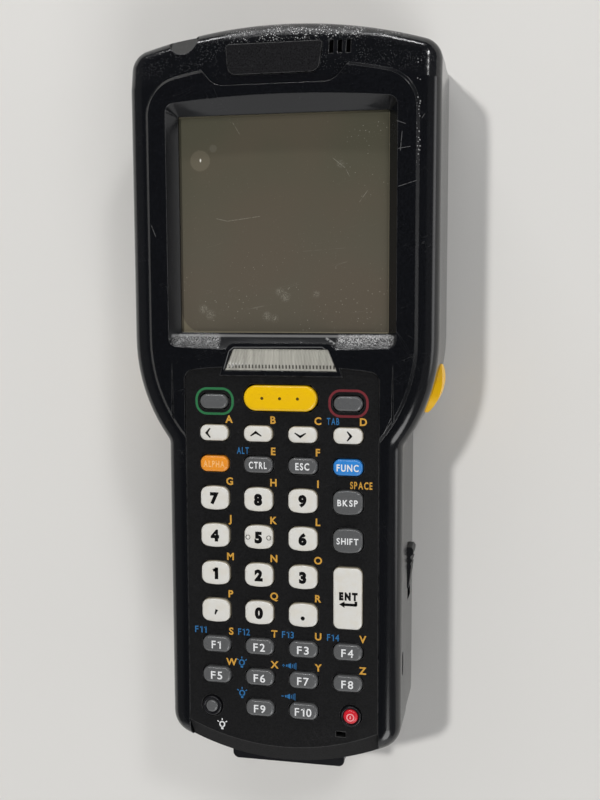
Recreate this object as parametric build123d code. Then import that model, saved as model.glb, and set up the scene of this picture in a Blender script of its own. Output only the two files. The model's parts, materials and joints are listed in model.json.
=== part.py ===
from build123d import *
from math import asin, cos, degrees, radians, sin, sqrt
import os

# Portable barcode data terminal, lying on its back: +X right, +Y towards the scanning end,
# +Z out of the display. The origin is the centre of the bounding box's underside.

# ---- driving sizes, mm ----
LENGTH = 192.5  # from the head's crown to the tip of the dock connector
HEAD_WIDTH = 79.1
HANDLE_WIDTH = 61.4
PANEL_Z = 37.2  # face of the keypad panel above the back
SEAM_Z = 20.8  # where the front and rear housings meet
HEAD_CROWN_RADIUS = 127.5
DOCK_PROUD = 2.15  # how far the dock connector stands out of the handle's end
SHOULDER_RADIUS = 44.8
SHOULDER_Y = 18.0  # where the shoulders start to curve in
HANDLE_END_RADIUS = 64.0
HEAD_CORNER_RADIUS = 5.6
HANDLE_CORNER_RADIUS = 6.5
NECK_RADIUS = 2.5
WALL = 2.4
EDGE_RADIUS = 4.4  # rounding of the front and back edges
SEAM_GAP = 0.35
SEAM_DEPTH = 0.8

PLATEAU_RISE = 0.5  # raised face around the display
PLATEAU_MARGIN = 5.75
PLATEAU_SLOPE = 0.8
PLATEAU_TOP_MARGIN = 10.4
PLATEAU_CORNER = 9.0
BROW_DROP = 2.1  # fall of the face from the raised part to the crown

SCREEN_WIDTH = 54.0
SCREEN_HEIGHT = 54.6
SCREEN_Y = 46.95
SCREEN_DEPTH = 4.3
RECESS_SIDE = 2.3  # how far the well's slopes reach out from the glass
RECESS_TOP = 4.2
RECESS_BOTTOM = 4.3
RECESS_ARCH = 1.5  # bow of the well's upper edge
RECESS_BOW = 0.7  # bow of its lower edge
RECESS_CORNER = 2.4
GLASS_CORNER = 0.3
LIP = 0.7

GLASS_THICKNESS = 1.2
GASKET_THICKNESS = 0.5
MODULE_THICKNESS = 4.4
BOARD_THICKNESS = 1.2

LENS_DROP = 4.0  # from the foot of the glass to the lens
LENS_HEIGHT = 5.4
LENS_TOP_WIDTH = 24.4
LENS_BOTTOM_WIDTH = 28.8
LENS_THICKNESS = 3.0
LENS_RIM = 1.5

PANEL_WIDTH = 50.2
PANEL_TOP_Y = 11.5
PANEL_CROWN_RADIUS = 197.0
PANEL_CORNER = 2.6
PANEL_THICKNESS = 1.6
PANEL_SKIRT = 5.0
PANEL_WALL = 1.2
PANEL_BEVEL_Y = 5.2
PANEL_BEVEL_Z = 4.0
FIT = 0.15  # all-round gap between fixed pieces

KEY_RISE = 1.2
KEY_GAP = 0.25
KEY_TRAVEL = 0.6
KEY_SEAT = 0.3
KEY_FLANGE = 0.6
KEY_EDGE = 0.35
MAT_THICKNESS = 0.7

BAY_TOP_Y = -37.5
BAY_END_WALL = 6.1  # between the battery bay and the handle's end
BAY_WIDTH = 50.8
BAY_DEPTH = 15.8
PACK_GAP = 0.25
PACK_SLOPE = 2.7
PACK_CORNER = 1.6
HINGE_Z = 2.2
HOOK_WIDTH = 6.0
HOOK_SPACING = 28.0
HOOK_RADIUS = 0.9
HOOK_LENGTH = 2.8

TRIGGER_Y = 4.5
TRIGGER_LENGTH = 12.8
TRIGGER_HEIGHT = 12.6
TRIGGER_Z = 17.2
TRIGGER_PROUD = 0.15  # beyond the side of the head
TRIGGER_FLANGE = 1.2
TRIGGER_TRAVEL = 1.2
TRIGGER_GAP = 0.3

GROOVE_Y = -2.0  # finger groove across the back of the neck
GROOVE_SPAN = 52.0
GROOVE_DEPTH = 4.5

LATCH_TOP_Y = -39.05
LATCH_LENGTH = 11.4
LATCH_HEIGHT = 6.6
LATCH_Z = 13.2
LATCH_PROUD = 1.3
LATCH_TRAVEL = 3.0
LATCH_STEM = 3.0

WINDOW_WIDTH = 30.0
WINDOW_HEIGHT = 11.5
WINDOW_Z = 10.2
WINDOW_THICKNESS = 1.8
WINDOW_RECESS = 2.3

LUG_WIDTH = 30.6
LUG_Z = 27.7
LUG_HEIGHT = 5.0

SPEAKER_SIZE = (12.0, 9.0)
SPEAKER_X = 14.8
SPEAKER_MARGIN = 4.65  # from the crown to the speaker's pocket
SPEAKER_THICKNESS = 3.2

BADGE_X = -1.45
BADGE_HEIGHT = 7.5
BADGE_TOP_WIDTH = 24.4
BADGE_BOTTOM_WIDTH = 22.6
BADGE_MARGIN = 5.35
BADGE_DEPTH = 2.4
BADGE_FALL = 0.9  # how far its face falls back towards the crown
SADDLE_TOP_WIDTH = 47.0  # dip in the raised face that the badge sits in
SADDLE_BOTTOM_WIDTH = 30.0
SADDLE_MARGIN = 2.45
SADDLE_CORNER = 5.0

NOTCH_X = -25.0  # flat cut in the rounded crown, for a fingernail
NOTCH_RADIUS = 3.9
NOTCH_DEPTH = 0.8

CREASE_X = 28.5  # crease that fades out from the handle's rail into the raised face
CREASE_TOP_Y = 12.6
CREASE_WIDTH = 0.7
CREASE_DEPTH = 0.35

CONTACT_WIDTH = 16.0
CONTACT_HEIGHT = 4.0
CONTACT_MARGIN = 8.5  # from the head end of the bay

SCREW_HEAD_RADIUS = 2.3
SCREW_RADIUS = 1.2
BOSS_SIZE = 6.0

# ---- sizes worked out from them ----
TOP_Y = LENGTH / 2
HANDLE_END_Y = DOCK_PROUD - TOP_Y
BAY_BOTTOM_Y = HANDLE_END_Y + BAY_END_WALL
HEAD_HALF = HEAD_WIDTH / 2
HANDLE_HALF = HANDLE_WIDTH / 2
FACE_Z = PANEL_Z - 0.1
PLATEAU_TOP_Y = TOP_Y - PLATEAU_TOP_MARGIN
BROW_Y = PLATEAU_TOP_Y + PLATEAU_SLOPE + 0.2
PLATEAU_Z = PANEL_Z + PLATEAU_RISE
CROWN_CENTRE_Y = TOP_Y - HEAD_CROWN_RADIUS
SHOULDER_CENTRE_X = HEAD_HALF - SHOULDER_RADIUS
SHOULDER_RUN = sqrt(SHOULDER_RADIUS**2 - (SHOULDER_RADIUS - HEAD_HALF + HANDLE_HALF) ** 2)
SHOULDER_SWEEP = degrees(asin(SHOULDER_RUN / SHOULDER_RADIUS))
GLASS_Z = PANEL_Z - SCREEN_DEPTH
CEILING_Z = GLASS_Z + GASKET_THICKNESS
SCREEN_MODULE_Z = GLASS_Z - GLASS_THICKNESS - MODULE_THICKNESS
MAIN_BOARD_Z = SCREEN_MODULE_Z - BOARD_THICKNESS
SKIRT_Z = PANEL_Z - PANEL_SKIRT
PANEL_BACK_Z = PANEL_Z - PANEL_THICKNESS
FLANGE_TOP_Z = PANEL_BACK_Z - KEY_SEAT
FLANGE_Z = FLANGE_TOP_Z - KEY_FLANGE
MAT_TOP_Z = FLANGE_Z - KEY_TRAVEL - 0.1
KEY_BOARD_TOP_Z = MAT_TOP_Z - MAT_THICKNESS
GROOVE_TOP_Y = GROOVE_Y + GROOVE_SPAN / 2 + 2
SPEAKER_TOP_Z = PANEL_Z - 3.4
SCREEN_TOP_Y = SCREEN_Y + SCREEN_HEIGHT / 2
SCREEN_BOTTOM_Y = SCREEN_Y - SCREEN_HEIGHT / 2
LENS_TOP_Y = SCREEN_BOTTOM_Y - LENS_DROP
LENS_BOTTOM_Y = LENS_TOP_Y - LENS_HEIGHT
SKIRT_END_Y = HANDLE_END_Y + 8.9  # inner end of the keypad's hollow
CONTACT_Y = BAY_TOP_Y - CONTACT_MARGIN
TRIGGER_FOOT_X = SHOULDER_CENTRE_X + sqrt(
    SHOULDER_RADIUS**2 - (SHOULDER_Y - TRIGGER_Y + TRIGGER_LENGTH / 2) ** 2)
TRIGGER_INNER_X = TRIGGER_FOOT_X - WALL - 2.4
SCREW_PLACES = [
    (side * x, y)
    for x, y in (
        (HEAD_HALF - 6.35, TOP_Y - 14.25), (HEAD_HALF - 6.35, SHOULDER_Y + 9),
        (HANDLE_HALF - 7.7, BAY_TOP_Y + 6.5),
    )
    for side in (-1, 1)
]

# ---- the keypad ----
COLUMN_PITCH = 11.59
COLUMNS = [(i - 1.5) * COLUMN_PITCH for i in range(4)]
DIGIT_SIZE = (7.6, 5.9)
SMALL_SIZE = (7.6, 4.2)
SOFT_SIZE = (7.4, 3.8)
SCAN_SIZE = (19.1, 6.6)
ENTER_SIZE = (7.55, 16.1)
ROUND_KEY = 3.9
ROUND_WELL = 6.0
ROW_Y = {
    "soft": 2.2,
    "arrows": -5.9,
    "alpha": -13.95,
    "seven": -22.9,
    "four": -32.75,
    "one": -42.75,
    "zero": -52.75,
    "f1": -61.95,
    "f5": -70.25,
    "f9": -78.55,
}
KEY_ROWS = {
    "arrows": (SMALL_SIZE, ("left", "up", "down", "right")),
    "alpha": (SMALL_SIZE, ("alpha", "ctrl", "esc", "func")),
    "seven": (DIGIT_SIZE, ("7", "8", "9", "bksp")),
    "four": (DIGIT_SIZE, ("4", "5", "6", "shift")),
    "one": (DIGIT_SIZE, ("1", "2", "3", None)),
    "zero": (DIGIT_SIZE, ("comma", "0", "point", None)),
    "f1": (SMALL_SIZE, ("f1", "f2", "f3", "f4")),
    "f5": (SMALL_SIZE, ("f5", "f6", "f7", "f8")),
    "f9": (SMALL_SIZE, (None, "f9", "f10", None)),
}


def key_table():
    """Every key as name: (x, y, width, height, corner radius)."""
    keys = {}
    for row, ((width, height), names) in KEY_ROWS.items():
        corner = 0.45 * height if height < DIGIT_SIZE[1] else 0.34 * height
        for x, name in zip(COLUMNS, names):
            if name:
                keys[f"key_{name}"] = (x, ROW_Y[row], width, height, corner)
    enter_y = (ROW_Y["one"] + ROW_Y["zero"]) / 2
    keys["key_enter"] = (COLUMNS[3], enter_y, *ENTER_SIZE, 1.8)
    keys["key_scan"] = (0, ROW_Y["soft"] + 1.05, *SCAN_SIZE, 0.49 * SCAN_SIZE[1])
    keys["key_soft_left"] = (COLUMNS[0], ROW_Y["soft"], *SOFT_SIZE, 0.45 * SOFT_SIZE[1])
    keys["key_soft_right"] = (COLUMNS[3], ROW_Y["soft"], *SOFT_SIZE, 0.45 * SOFT_SIZE[1])
    round_y = ROW_Y["f9"] - 0.4
    keys["key_light"] = (COLUMNS[0] - 1.5, round_y, ROUND_KEY, ROUND_KEY, 0.49 * ROUND_KEY)
    keys["key_power"] = (COLUMNS[3] + 0.8, round_y, ROUND_KEY, ROUND_KEY, 0.49 * ROUND_KEY)
    return keys


KEYS = key_table()
CORNER_CUT = 2 - sqrt(2)  # straight cut that leaves as much of a corner as a round of radius 1


# ---- helpers ----
def block(x0, x1, y0, y1, z0, z1):
    """A box given by its six faces."""
    size = Box(x1 - x0, y1 - y0, z1 - z0)
    return Pos((x0 + x1) / 2, (y0 + y1) / 2, (z0 + z1) / 2) * size


def slab(sketch, z0, z1):
    """A flat sketch made solid between two heights."""
    return extrude(Pos(0, 0, z0) * sketch, z1 - z0)


def rod(x, y, radius, z0, z1):
    """An upright cylinder."""
    return Pos(x, y, (z0 + z1) / 2) * Cylinder(radius, z1 - z0)


def boss(x, y, z0, z1, grow=0.0):
    """A square screw boss."""
    half = BOSS_SIZE / 2 + grow
    return block(x - half, x + half, y - half, y + half, z0, z1)


def rounded_block(x, y, width, height, corner, z0, z1):
    """An upright prism with rounded corners, centred on x and y."""
    return slab(Pos(x, y) * RectangleRounded(width, height, corner), z0, z1)


def bevel(centre_y, inner, outer, top, drop):
    """What a cone cuts off a face: it falls from radius inner to radius outer."""
    slope = drop / (outer - inner)
    wedge = make_face(Polyline(
        (inner, top), (outer + 3, top - drop - 3 * slope), (outer + 3, top + 2), (inner, top + 2),
        close=True))
    return Pos(0, centre_y, 0) * revolve(Plane.XZ * wedge, Axis.Z)


def both_sides(solid):
    """A solid and its mirror image across the middle of the terminal."""
    return solid + mirror(solid, Plane.YZ)


def arc_height(x, crown_y, radius):
    """Height of an arch whose crown is on the centre line."""
    return crown_y - radius + sqrt(radius**2 - x**2)


# ---- the body's plan ----
def body_plan(inset=0.0):
    """Arched head, shoulders that curve in, straight handle with a bowed end."""
    crown_y = arc_height(HEAD_HALF, TOP_Y, HEAD_CROWN_RADIUS)
    end_y = -arc_height(HANDLE_HALF, -HANDLE_END_Y, HANDLE_END_RADIUS)
    neck_y = SHOULDER_Y - SHOULDER_RUN
    crown_sweep = degrees(asin(HEAD_HALF / HEAD_CROWN_RADIUS))
    edges = [
        CenterArc((0, CROWN_CENTRE_Y), HEAD_CROWN_RADIUS, 90 - crown_sweep, 2 * crown_sweep),
        ThreePointArc((-HANDLE_HALF, end_y), (0, HANDLE_END_Y), (HANDLE_HALF, end_y)),
    ]
    for side, start in ((1, -SHOULDER_SWEEP), (-1, 180)):
        centre = (side * SHOULDER_CENTRE_X, SHOULDER_Y)
        edges += [
            Line((side * HEAD_HALF, crown_y), (side * HEAD_HALF, SHOULDER_Y)),
            CenterArc(centre, SHOULDER_RADIUS, start, SHOULDER_SWEEP),
            Line((side * HANDLE_HALF, neck_y), (side * HANDLE_HALF, end_y)),
        ]
    plan = make_face(edges)
    corners = plan.vertices()
    plan = fillet([v for v in corners if abs(v.Y - crown_y) < 0.01], HEAD_CORNER_RADIUS)
    plan = fillet([v for v in plan.vertices() if abs(v.Y - end_y) < 0.01], HANDLE_CORNER_RADIUS)
    plan = fillet([v for v in plan.vertices() if abs(v.Y - neck_y) < 0.01], NECK_RADIUS)
    return offset(plan, -inset, kind=Kind.INTERSECTION) if inset else plan


def shoulder_point(share, inset=0.0):
    """A point of the right shoulder, from its start at the head (0) to the neck (1)."""
    angle = radians(share * SHOULDER_SWEEP)
    radius = SHOULDER_RADIUS - inset
    return SHOULDER_CENTRE_X + radius * cos(angle), SHOULDER_Y - radius * sin(angle)


def hollow_plan(inset=WALL):
    """Outline of the hollows: straight runs that stay at least a wall inside the curved outside."""
    head, handle = HEAD_HALF - inset, HANDLE_HALF - inset
    crown = arc_height(head / 2, TOP_Y, HEAD_CROWN_RADIUS) - inset
    side = arc_height(head, TOP_Y, HEAD_CROWN_RADIUS) - inset
    end = HANDLE_END_Y + inset + 5.5
    right = [
        (head / 2, crown), (head - 4, side - 0.4), (head, side - 4.5), (head, SHOULDER_Y),
        shoulder_point(0.35, inset), shoulder_point(0.7, inset),
        (handle, SHOULDER_Y - SHOULDER_RUN), (handle, end + 4.5), (handle - 4, end),
    ]
    left = [(-x, y) for x, y in reversed(right)]
    return make_face(Polyline(*right, *left, close=True))


def plateau_plan(grow=0.0):
    """The raised face: it follows the head's outline and runs out beside the keypad."""
    half = HEAD_HALF - PLATEAU_MARGIN + grow
    crown = PLATEAU_TOP_Y + grow
    radius = SHOULDER_RADIUS - PLATEAU_MARGIN + grow
    crown_radius = HEAD_CROWN_RADIUS - PLATEAU_MARGIN
    tip = PANEL_WIDTH / 2 - 1.5
    run = sqrt(radius**2 - (radius - half + tip) ** 2)
    sweep = degrees(asin(run / radius))
    side_y = arc_height(half, crown, crown_radius)
    low = SHOULDER_Y - run
    edges = [
        ThreePointArc((-half, side_y), (0, crown), (half, side_y)),
        Line((-tip, low), (tip, low)),
    ]
    for side, start in ((1, -sweep), (-1, 180)):
        edges += [
            Line((side * half, side_y), (side * half, SHOULDER_Y)),
            CenterArc((side * (half - radius), SHOULDER_Y), radius, start, sweep),
        ]
    plan = make_face(edges)
    return fillet([v for v in plan.vertices() if abs(v.Y - side_y) < 0.01], PLATEAU_CORNER + grow)


def lens_plan(grow=0.0):
    """The indicator lens: a flared strip, wider at its lower edge."""
    top, low = LENS_TOP_WIDTH / 2 + grow, LENS_BOTTOM_WIDTH / 2 + grow
    y0, y1 = LENS_BOTTOM_Y - grow, LENS_TOP_Y + grow
    plan = make_face(Polyline((-low, y0), (low, y0), (top, y1), (-top, y1), close=True))
    return fillet([v for v in plan.vertices() if v.Y > LENS_TOP_Y - 1], 1.0 + grow)


def panel_plan(grow=0.0):
    """The keypad panel: arched top with a bay for the lens, bowed end."""
    half = PANEL_WIDTH / 2 + grow
    top = arc_height(half, PANEL_TOP_Y + grow, PANEL_CROWN_RADIUS)
    low = -arc_height(half, -HANDLE_END_Y, HANDLE_END_RADIUS)
    plan = make_face([
        ThreePointArc((-half, top), (0, PANEL_TOP_Y + grow), (half, top)),
        ThreePointArc((-half, low), (0, HANDLE_END_Y), (half, low)),
        Line((-half, top), (-half, low)),
        Line((half, top), (half, low)),
    ])
    plan = fillet([v for v in plan.vertices() if v.Y > 0], PANEL_CORNER)
    return plan - lens_plan(LENS_RIM - grow)


# ---- front housing ----
def front_blank():
    """The closed outer form: rounded edges, brow falling back to the crown, raised face."""
    blank = slab(body_plan(), SEAM_Z, FACE_Z)
    blank -= bevel(CROWN_CENTRE_Y, BROW_Y - CROWN_CENTRE_Y, HEAD_CROWN_RADIUS, FACE_Z, BROW_DROP)
    upper = [e for e in blank.edges() if e.position_at(0.5).Z > FACE_Z - BROW_DROP - 1]
    rim = [e for e in upper if on_outline(e)]
    blank = fillet(rim, EDGE_RADIUS)
    return blank + raised_face() - crown_notch()


def on_outline(edge):
    """True for an edge that runs along the body's side wall."""
    middle = edge.position_at(0.5)
    side = abs(middle.X)
    radius = sqrt(middle.X**2 + (middle.Y - CROWN_CENTRE_Y) ** 2)
    arc = sqrt((side - SHOULDER_CENTRE_X) ** 2 + (middle.Y - SHOULDER_Y) ** 2)
    end = sqrt(middle.X**2 + (middle.Y - HANDLE_END_Y - HANDLE_END_RADIUS) ** 2)
    near = 0.05
    if middle.Y > SHOULDER_Y:
        return side > HEAD_HALF - 2 or radius > HEAD_CROWN_RADIUS - near
    if middle.Y > HANDLE_END_Y + 12:
        return side > HANDLE_HALF - near or arc > SHOULDER_RADIUS - near
    return side > HANDLE_HALF - 3 or end > HANDLE_END_RADIUS - near


def raised_face():
    """The low plateau round the display, with a dip for the badge and a crease at each rail."""
    raised = loft([
        Pos(0, 0, FACE_Z - 0.02) * plateau_plan(PLATEAU_SLOPE),
        Pos(0, 0, PLATEAU_Z) * plateau_plan(),
    ], ruled=True)
    raised -= slab(saddle_plan(), FACE_Z - 1, PLATEAU_Z + 1)
    crease = make_face(Polyline(
        (CREASE_X - CREASE_WIDTH / 2, -6), (CREASE_X + CREASE_WIDTH / 2, -6),
        (CREASE_X, CREASE_TOP_Y), close=True))
    return raised - both_sides(slab(crease, PLATEAU_Z - CREASE_DEPTH, PLATEAU_Z + 1))


def crown_notch():
    """What is cut from the crown's rounding: a round tool leaning over at 45 degrees."""
    y = arc_height(NOTCH_X, TOP_Y, HEAD_CROWN_RADIUS) - EDGE_RADIUS
    z = FACE_Z - BROW_DROP - EDGE_RADIUS
    reach = EDGE_RADIUS - NOTCH_DEPTH + 5
    tool = Pos(0, 0, reach) * Cylinder(NOTCH_RADIUS, 10)
    return Pos(NOTCH_X, y, z) * Rot(-45, 0, 0) * tool


def recess_plan(half, low, high, bow, arch, corner):
    """Outline of the display well at one height: bowed lower edge, arched upper one."""
    lower = ThreePointArc((-half, low + bow), (0, low), (half, low + bow)) if bow else Line(
        (-half, low), (half, low))
    upper = ThreePointArc((-half, high - arch), (0, high), (half, high - arch)) if arch else Line(
        (-half, high), (half, high))
    sides = [Line((x, low + bow), (x, high - arch)) for x in (-half, half)]
    plan = make_face([lower, upper, *sides])
    return fillet(plan.vertices(), corner)


def screen_recess():
    """The sloped well that leads down to the glass."""
    inner = SCREEN_WIDTH / 2
    floor = recess_plan(inner, SCREEN_BOTTOM_Y, SCREEN_TOP_Y, 0, 0, GLASS_CORNER)
    mouth = recess_plan(inner + RECESS_SIDE, SCREEN_BOTTOM_Y - RECESS_BOTTOM,
                        SCREEN_TOP_Y + RECESS_TOP, RECESS_BOW, RECESS_ARCH, RECESS_CORNER)
    well = loft([
        Pos(0, 0, CEILING_Z + LIP) * floor,
        Pos(0, 0, PLATEAU_Z + 0.01) * mouth,
    ], ruled=True)
    return well + slab(floor, CEILING_Z - 1, CEILING_Z + LIP + 0.01)


def front_cavity():
    """The hollow behind the face, with a deeper pocket for the display stack."""
    hollow = slab(hollow_plan(), SEAM_Z - 1, SKIRT_Z - 1.2)
    glass = rounded_block(0, SCREEN_Y, SCREEN_WIDTH + 5.0, SCREEN_HEIGHT + 6.6, 1.0,
                          SKIRT_Z - 2, CEILING_Z)
    return hollow + glass


def keypad_pocket():
    """The seat of the keypad module, open at the handle's end, with a ledge round it."""
    seat = slab(panel_plan(FIT), SKIRT_Z, PLATEAU_Z + 1)
    inner = PANEL_WIDTH / 2 - 2.6
    through = block(-inner, inner, SKIRT_END_Y + 0.7, PANEL_TOP_Y - 4.5, SKIRT_Z - 3, SKIRT_Z + 0.1)
    beyond = block(-PANEL_WIDTH / 2 - FIT, PANEL_WIDTH / 2 + FIT, HANDLE_END_Y - 2,
                   SKIRT_END_Y - 1.8, SKIRT_Z, PLATEAU_Z + 1)
    return seat + through + beyond


def trigger_profile(x, grow=0.0):
    """Side view of a trigger, on a plane across the terminal."""
    oval = RectangleRounded(TRIGGER_LENGTH + 2 * grow, TRIGGER_HEIGHT + 2 * grow, 5.6 + grow)
    return Plane((x, TRIGGER_Y, TRIGGER_Z), x_dir=(0, 1, 0), z_dir=(1, 0, 0)) * oval


def trigger_opening():
    """Hole for the right trigger, through the side wall."""
    return extrude(trigger_profile(TRIGGER_INNER_X - 4, TRIGGER_GAP), HEAD_HALF)


def speaker_slots():
    """Three sound slots beside the badge."""
    y = TOP_Y - 6.95
    slots = [
        block(x - 0.55, x + 0.55, y - 1.65, y + 1.65, PANEL_Z - 5, PANEL_Z + 2)
        for x in (SPEAKER_X - 1.9, SPEAKER_X + 0.2, SPEAKER_X + 2.3)
    ]
    return slots[0] + slots[1] + slots[2]


def speaker_box(inset=0.0):
    """Left, right, lower and upper edges of the speaker's pocket."""
    half, height = SPEAKER_SIZE[0] / 2 - inset, SPEAKER_SIZE[1] - 2 * inset
    top = TOP_Y - SPEAKER_MARGIN - inset
    return SPEAKER_X - half, SPEAKER_X + half, top - height, top


def badge_plan(grow=0.0):
    """The plate above the display: a shallow trapezoid with rounded lower corners."""
    top, low = BADGE_TOP_WIDTH / 2 + grow, BADGE_BOTTOM_WIDTH / 2 + grow
    y1 = TOP_Y - BADGE_MARGIN + grow
    y0 = y1 - BADGE_HEIGHT - 2 * grow
    plan = Pos(BADGE_X, 0) * make_face(
        Polyline((-low, y0), (low, y0), (top, y1), (-top, y1), close=True))
    plan = fillet([v for v in plan.vertices() if v.Y > y1 - 0.1], 0.8 + grow)
    return fillet([v for v in plan.vertices() if v.Y < y0 + 0.1], 2.2 + grow)


def saddle_plan():
    """Outline of the dip in the raised face round the badge."""
    top, low = SADDLE_TOP_WIDTH / 2, SADDLE_BOTTOM_WIDTH / 2
    y1 = TOP_Y - BADGE_MARGIN
    y0 = y1 - BADGE_HEIGHT - SADDLE_MARGIN
    plan = Pos(BADGE_X, 0) * make_face(
        Polyline((-low, y0), (low, y0), (top, y1), (-top, y1), close=True))
    return fillet([v for v in plan.vertices() if v.Y < y0 + 0.1], SADDLE_CORNER)


def front_housing():
    body = front_blank()
    body -= screen_recess()
    surround = slab(lens_plan(LENS_RIM), CEILING_Z + LIP, PLATEAU_Z)
    body += surround
    body -= slab(lens_plan(FIT), PLATEAU_Z - LENS_THICKNESS, PLATEAU_Z + 1)
    body -= front_cavity()
    body -= keypad_pocket()
    body -= both_sides(trigger_opening())
    body -= speaker_slots()
    body -= block(*speaker_box(), SKIRT_Z - 3, SPEAKER_TOP_Z)
    body -= slab(badge_plan(FIT), PLATEAU_Z - BADGE_DEPTH, PLATEAU_Z + 3)
    for x, y in SCREW_PLACES:
        body += boss(x, y, SEAM_Z, SKIRT_Z - 1)
        body -= rod(x, y, SCREW_RADIUS + 0.05, SEAM_Z - 1, SEAM_Z + 7)
    lug = LUG_WIDTH + 2 * FIT
    body -= block(-lug / 2, lug / 2, HANDLE_END_Y - 1, HANDLE_END_Y + 12,
                  LUG_Z - LUG_HEIGHT / 2 - FIT, LUG_Z + LUG_HEIGHT / 2 + FIT)
    slot = Plane((HANDLE_HALF - 4, -66.7, PANEL_Z - 7.2), x_dir=(0, 1, 0), z_dir=(1, 0, 0))
    body -= extrude(slot * SlotOverall(6.4, 2.4), 8)
    return body


# ---- rear housing ----
def rear_blank():
    """The closed back: rounded edges, finger groove across the neck, stepped seam."""
    blank = slab(body_plan(0.2), 0, SEAM_Z - SEAM_GAP)
    rim = [e for e in blank.edges() if e.position_at(0.5).Z < 0.01]
    blank = fillet(rim, EDGE_RADIUS)
    blank += slab(body_plan(SEAM_DEPTH), SEAM_Z - SEAM_GAP - 1, SEAM_Z)
    radius = (GROOVE_SPAN**2 / 4 + GROOVE_DEPTH**2) / (2 * GROOVE_DEPTH)
    groove = Rot(0, 90, 0) * Cylinder(radius, 2 * HEAD_WIDTH)
    return blank - Pos(0, GROOVE_Y, GROOVE_DEPTH - radius) * groove


def rear_housing():
    body = rear_blank()
    plan = hollow_plan(WALL + 0.2)
    body -= slab(plan, WALL, SEAM_Z + 1) & block(-HEAD_HALF, HEAD_HALF, GROOVE_TOP_Y, TOP_Y, 0, 40)
    body -= slab(plan, GROOVE_DEPTH + 2.7, SEAM_Z + 1) & block(
        -HEAD_HALF, HEAD_HALF, BAY_TOP_Y + 2.5, GROOVE_TOP_Y + 0.1, 0, 40)
    body -= slab(plan, BAY_DEPTH + WALL, SEAM_Z + 1)
    body -= rounded_block(0, (BAY_TOP_Y + BAY_BOTTOM_Y) / 2, BAY_WIDTH,
                          BAY_TOP_Y - BAY_BOTTOM_Y, PACK_CORNER, -1, BAY_DEPTH)
    body -= both_sides(trigger_opening())
    body -= both_sides(latch_opening())
    for x in (-HOOK_SPACING / 2, HOOK_SPACING / 2):
        half = HOOK_WIDTH / 2 + 0.3
        body -= block(x - half, x + half, BAY_BOTTOM_Y - HOOK_LENGTH + HINGE_Z - 1.6,
                      BAY_BOTTOM_Y + 1, HINGE_Z - HOOK_RADIUS - 0.3,
                      HINGE_Z + HOOK_RADIUS + HOOK_LENGTH)
    front_y = TOP_Y - WINDOW_RECESS
    for width, height, y0, y1 in (
        (WINDOW_WIDTH + 2, WINDOW_HEIGHT + 2, front_y, TOP_Y + 1),
        (WINDOW_WIDTH, WINDOW_HEIGHT, front_y - WINDOW_THICKNESS, front_y + 1),
        (WINDOW_WIDTH - 4, WINDOW_HEIGHT - 3, front_y - 5, front_y),
    ):
        mouth = Plane((0, y0, WINDOW_Z), x_dir=(-1, 0, 0), z_dir=(0, 1, 0))
        body -= extrude(mouth * RectangleRounded(width + 0.2, height + 0.2, 1.5), y1 - y0)
    for x, y in SCREW_PLACES:
        body += boss(x, y, 2.0, SEAM_Z)
        body -= rod(x, y, SCREW_RADIUS + 0.3, -1, SEAM_Z + 1)
        body -= rod(x, y, SCREW_HEAD_RADIUS + 0.3, -1, 3.0)
    contact = battery_contact_box(0.3)
    return body - contact


def latch_opening():
    """Shallow track for the thumb slider and the slot that its stem runs in."""
    x = HANDLE_HALF
    high = LATCH_Z + LATCH_HEIGHT / 2 + 0.2
    low = LATCH_Z - LATCH_HEIGHT / 2 - 0.2
    track = block(x - 1.4, x + 3, LATCH_TOP_Y - LATCH_LENGTH - LATCH_TRAVEL - 0.3,
                  LATCH_TOP_Y + 0.3, low, high)
    stem_y = LATCH_TOP_Y - 2.5
    slot = block(BAY_WIDTH / 2 - 1, x, stem_y - LATCH_STEM - LATCH_TRAVEL - 0.3, stem_y + 0.3,
                 LATCH_Z - 1.3, LATCH_Z + 1.3)
    return track + slot


# ---- moving pieces ----
def thumb_latch():
    """Right battery latch: a wedge for the thumb, thick end up, and its stem."""
    inner = HANDLE_HALF - 1.1
    low_y = LATCH_TOP_Y - LATCH_LENGTH
    wedge = make_face(Polyline(
        (inner, low_y), (HANDLE_HALF, low_y), (HANDLE_HALF + LATCH_PROUD, LATCH_TOP_Y - 0.8),
        (HANDLE_HALF + LATCH_PROUD - 0.5, LATCH_TOP_Y), (inner, LATCH_TOP_Y), close=True))
    body = slab(wedge, LATCH_Z - LATCH_HEIGHT / 2, LATCH_Z + LATCH_HEIGHT / 2)
    for y in (-8.2, -6.4, -4.6, -2.8):
        body -= Pos(HANDLE_HALF + LATCH_PROUD, LATCH_TOP_Y + y, LATCH_Z) * Cylinder(0.75, 20)
    stem_y = LATCH_TOP_Y - 2.5
    stem = block(BAY_WIDTH / 2 + 0.05, inner + 0.1, stem_y - LATCH_STEM, stem_y,
                 LATCH_Z - 1.0, LATCH_Z + 1.0)
    return body + stem


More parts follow.
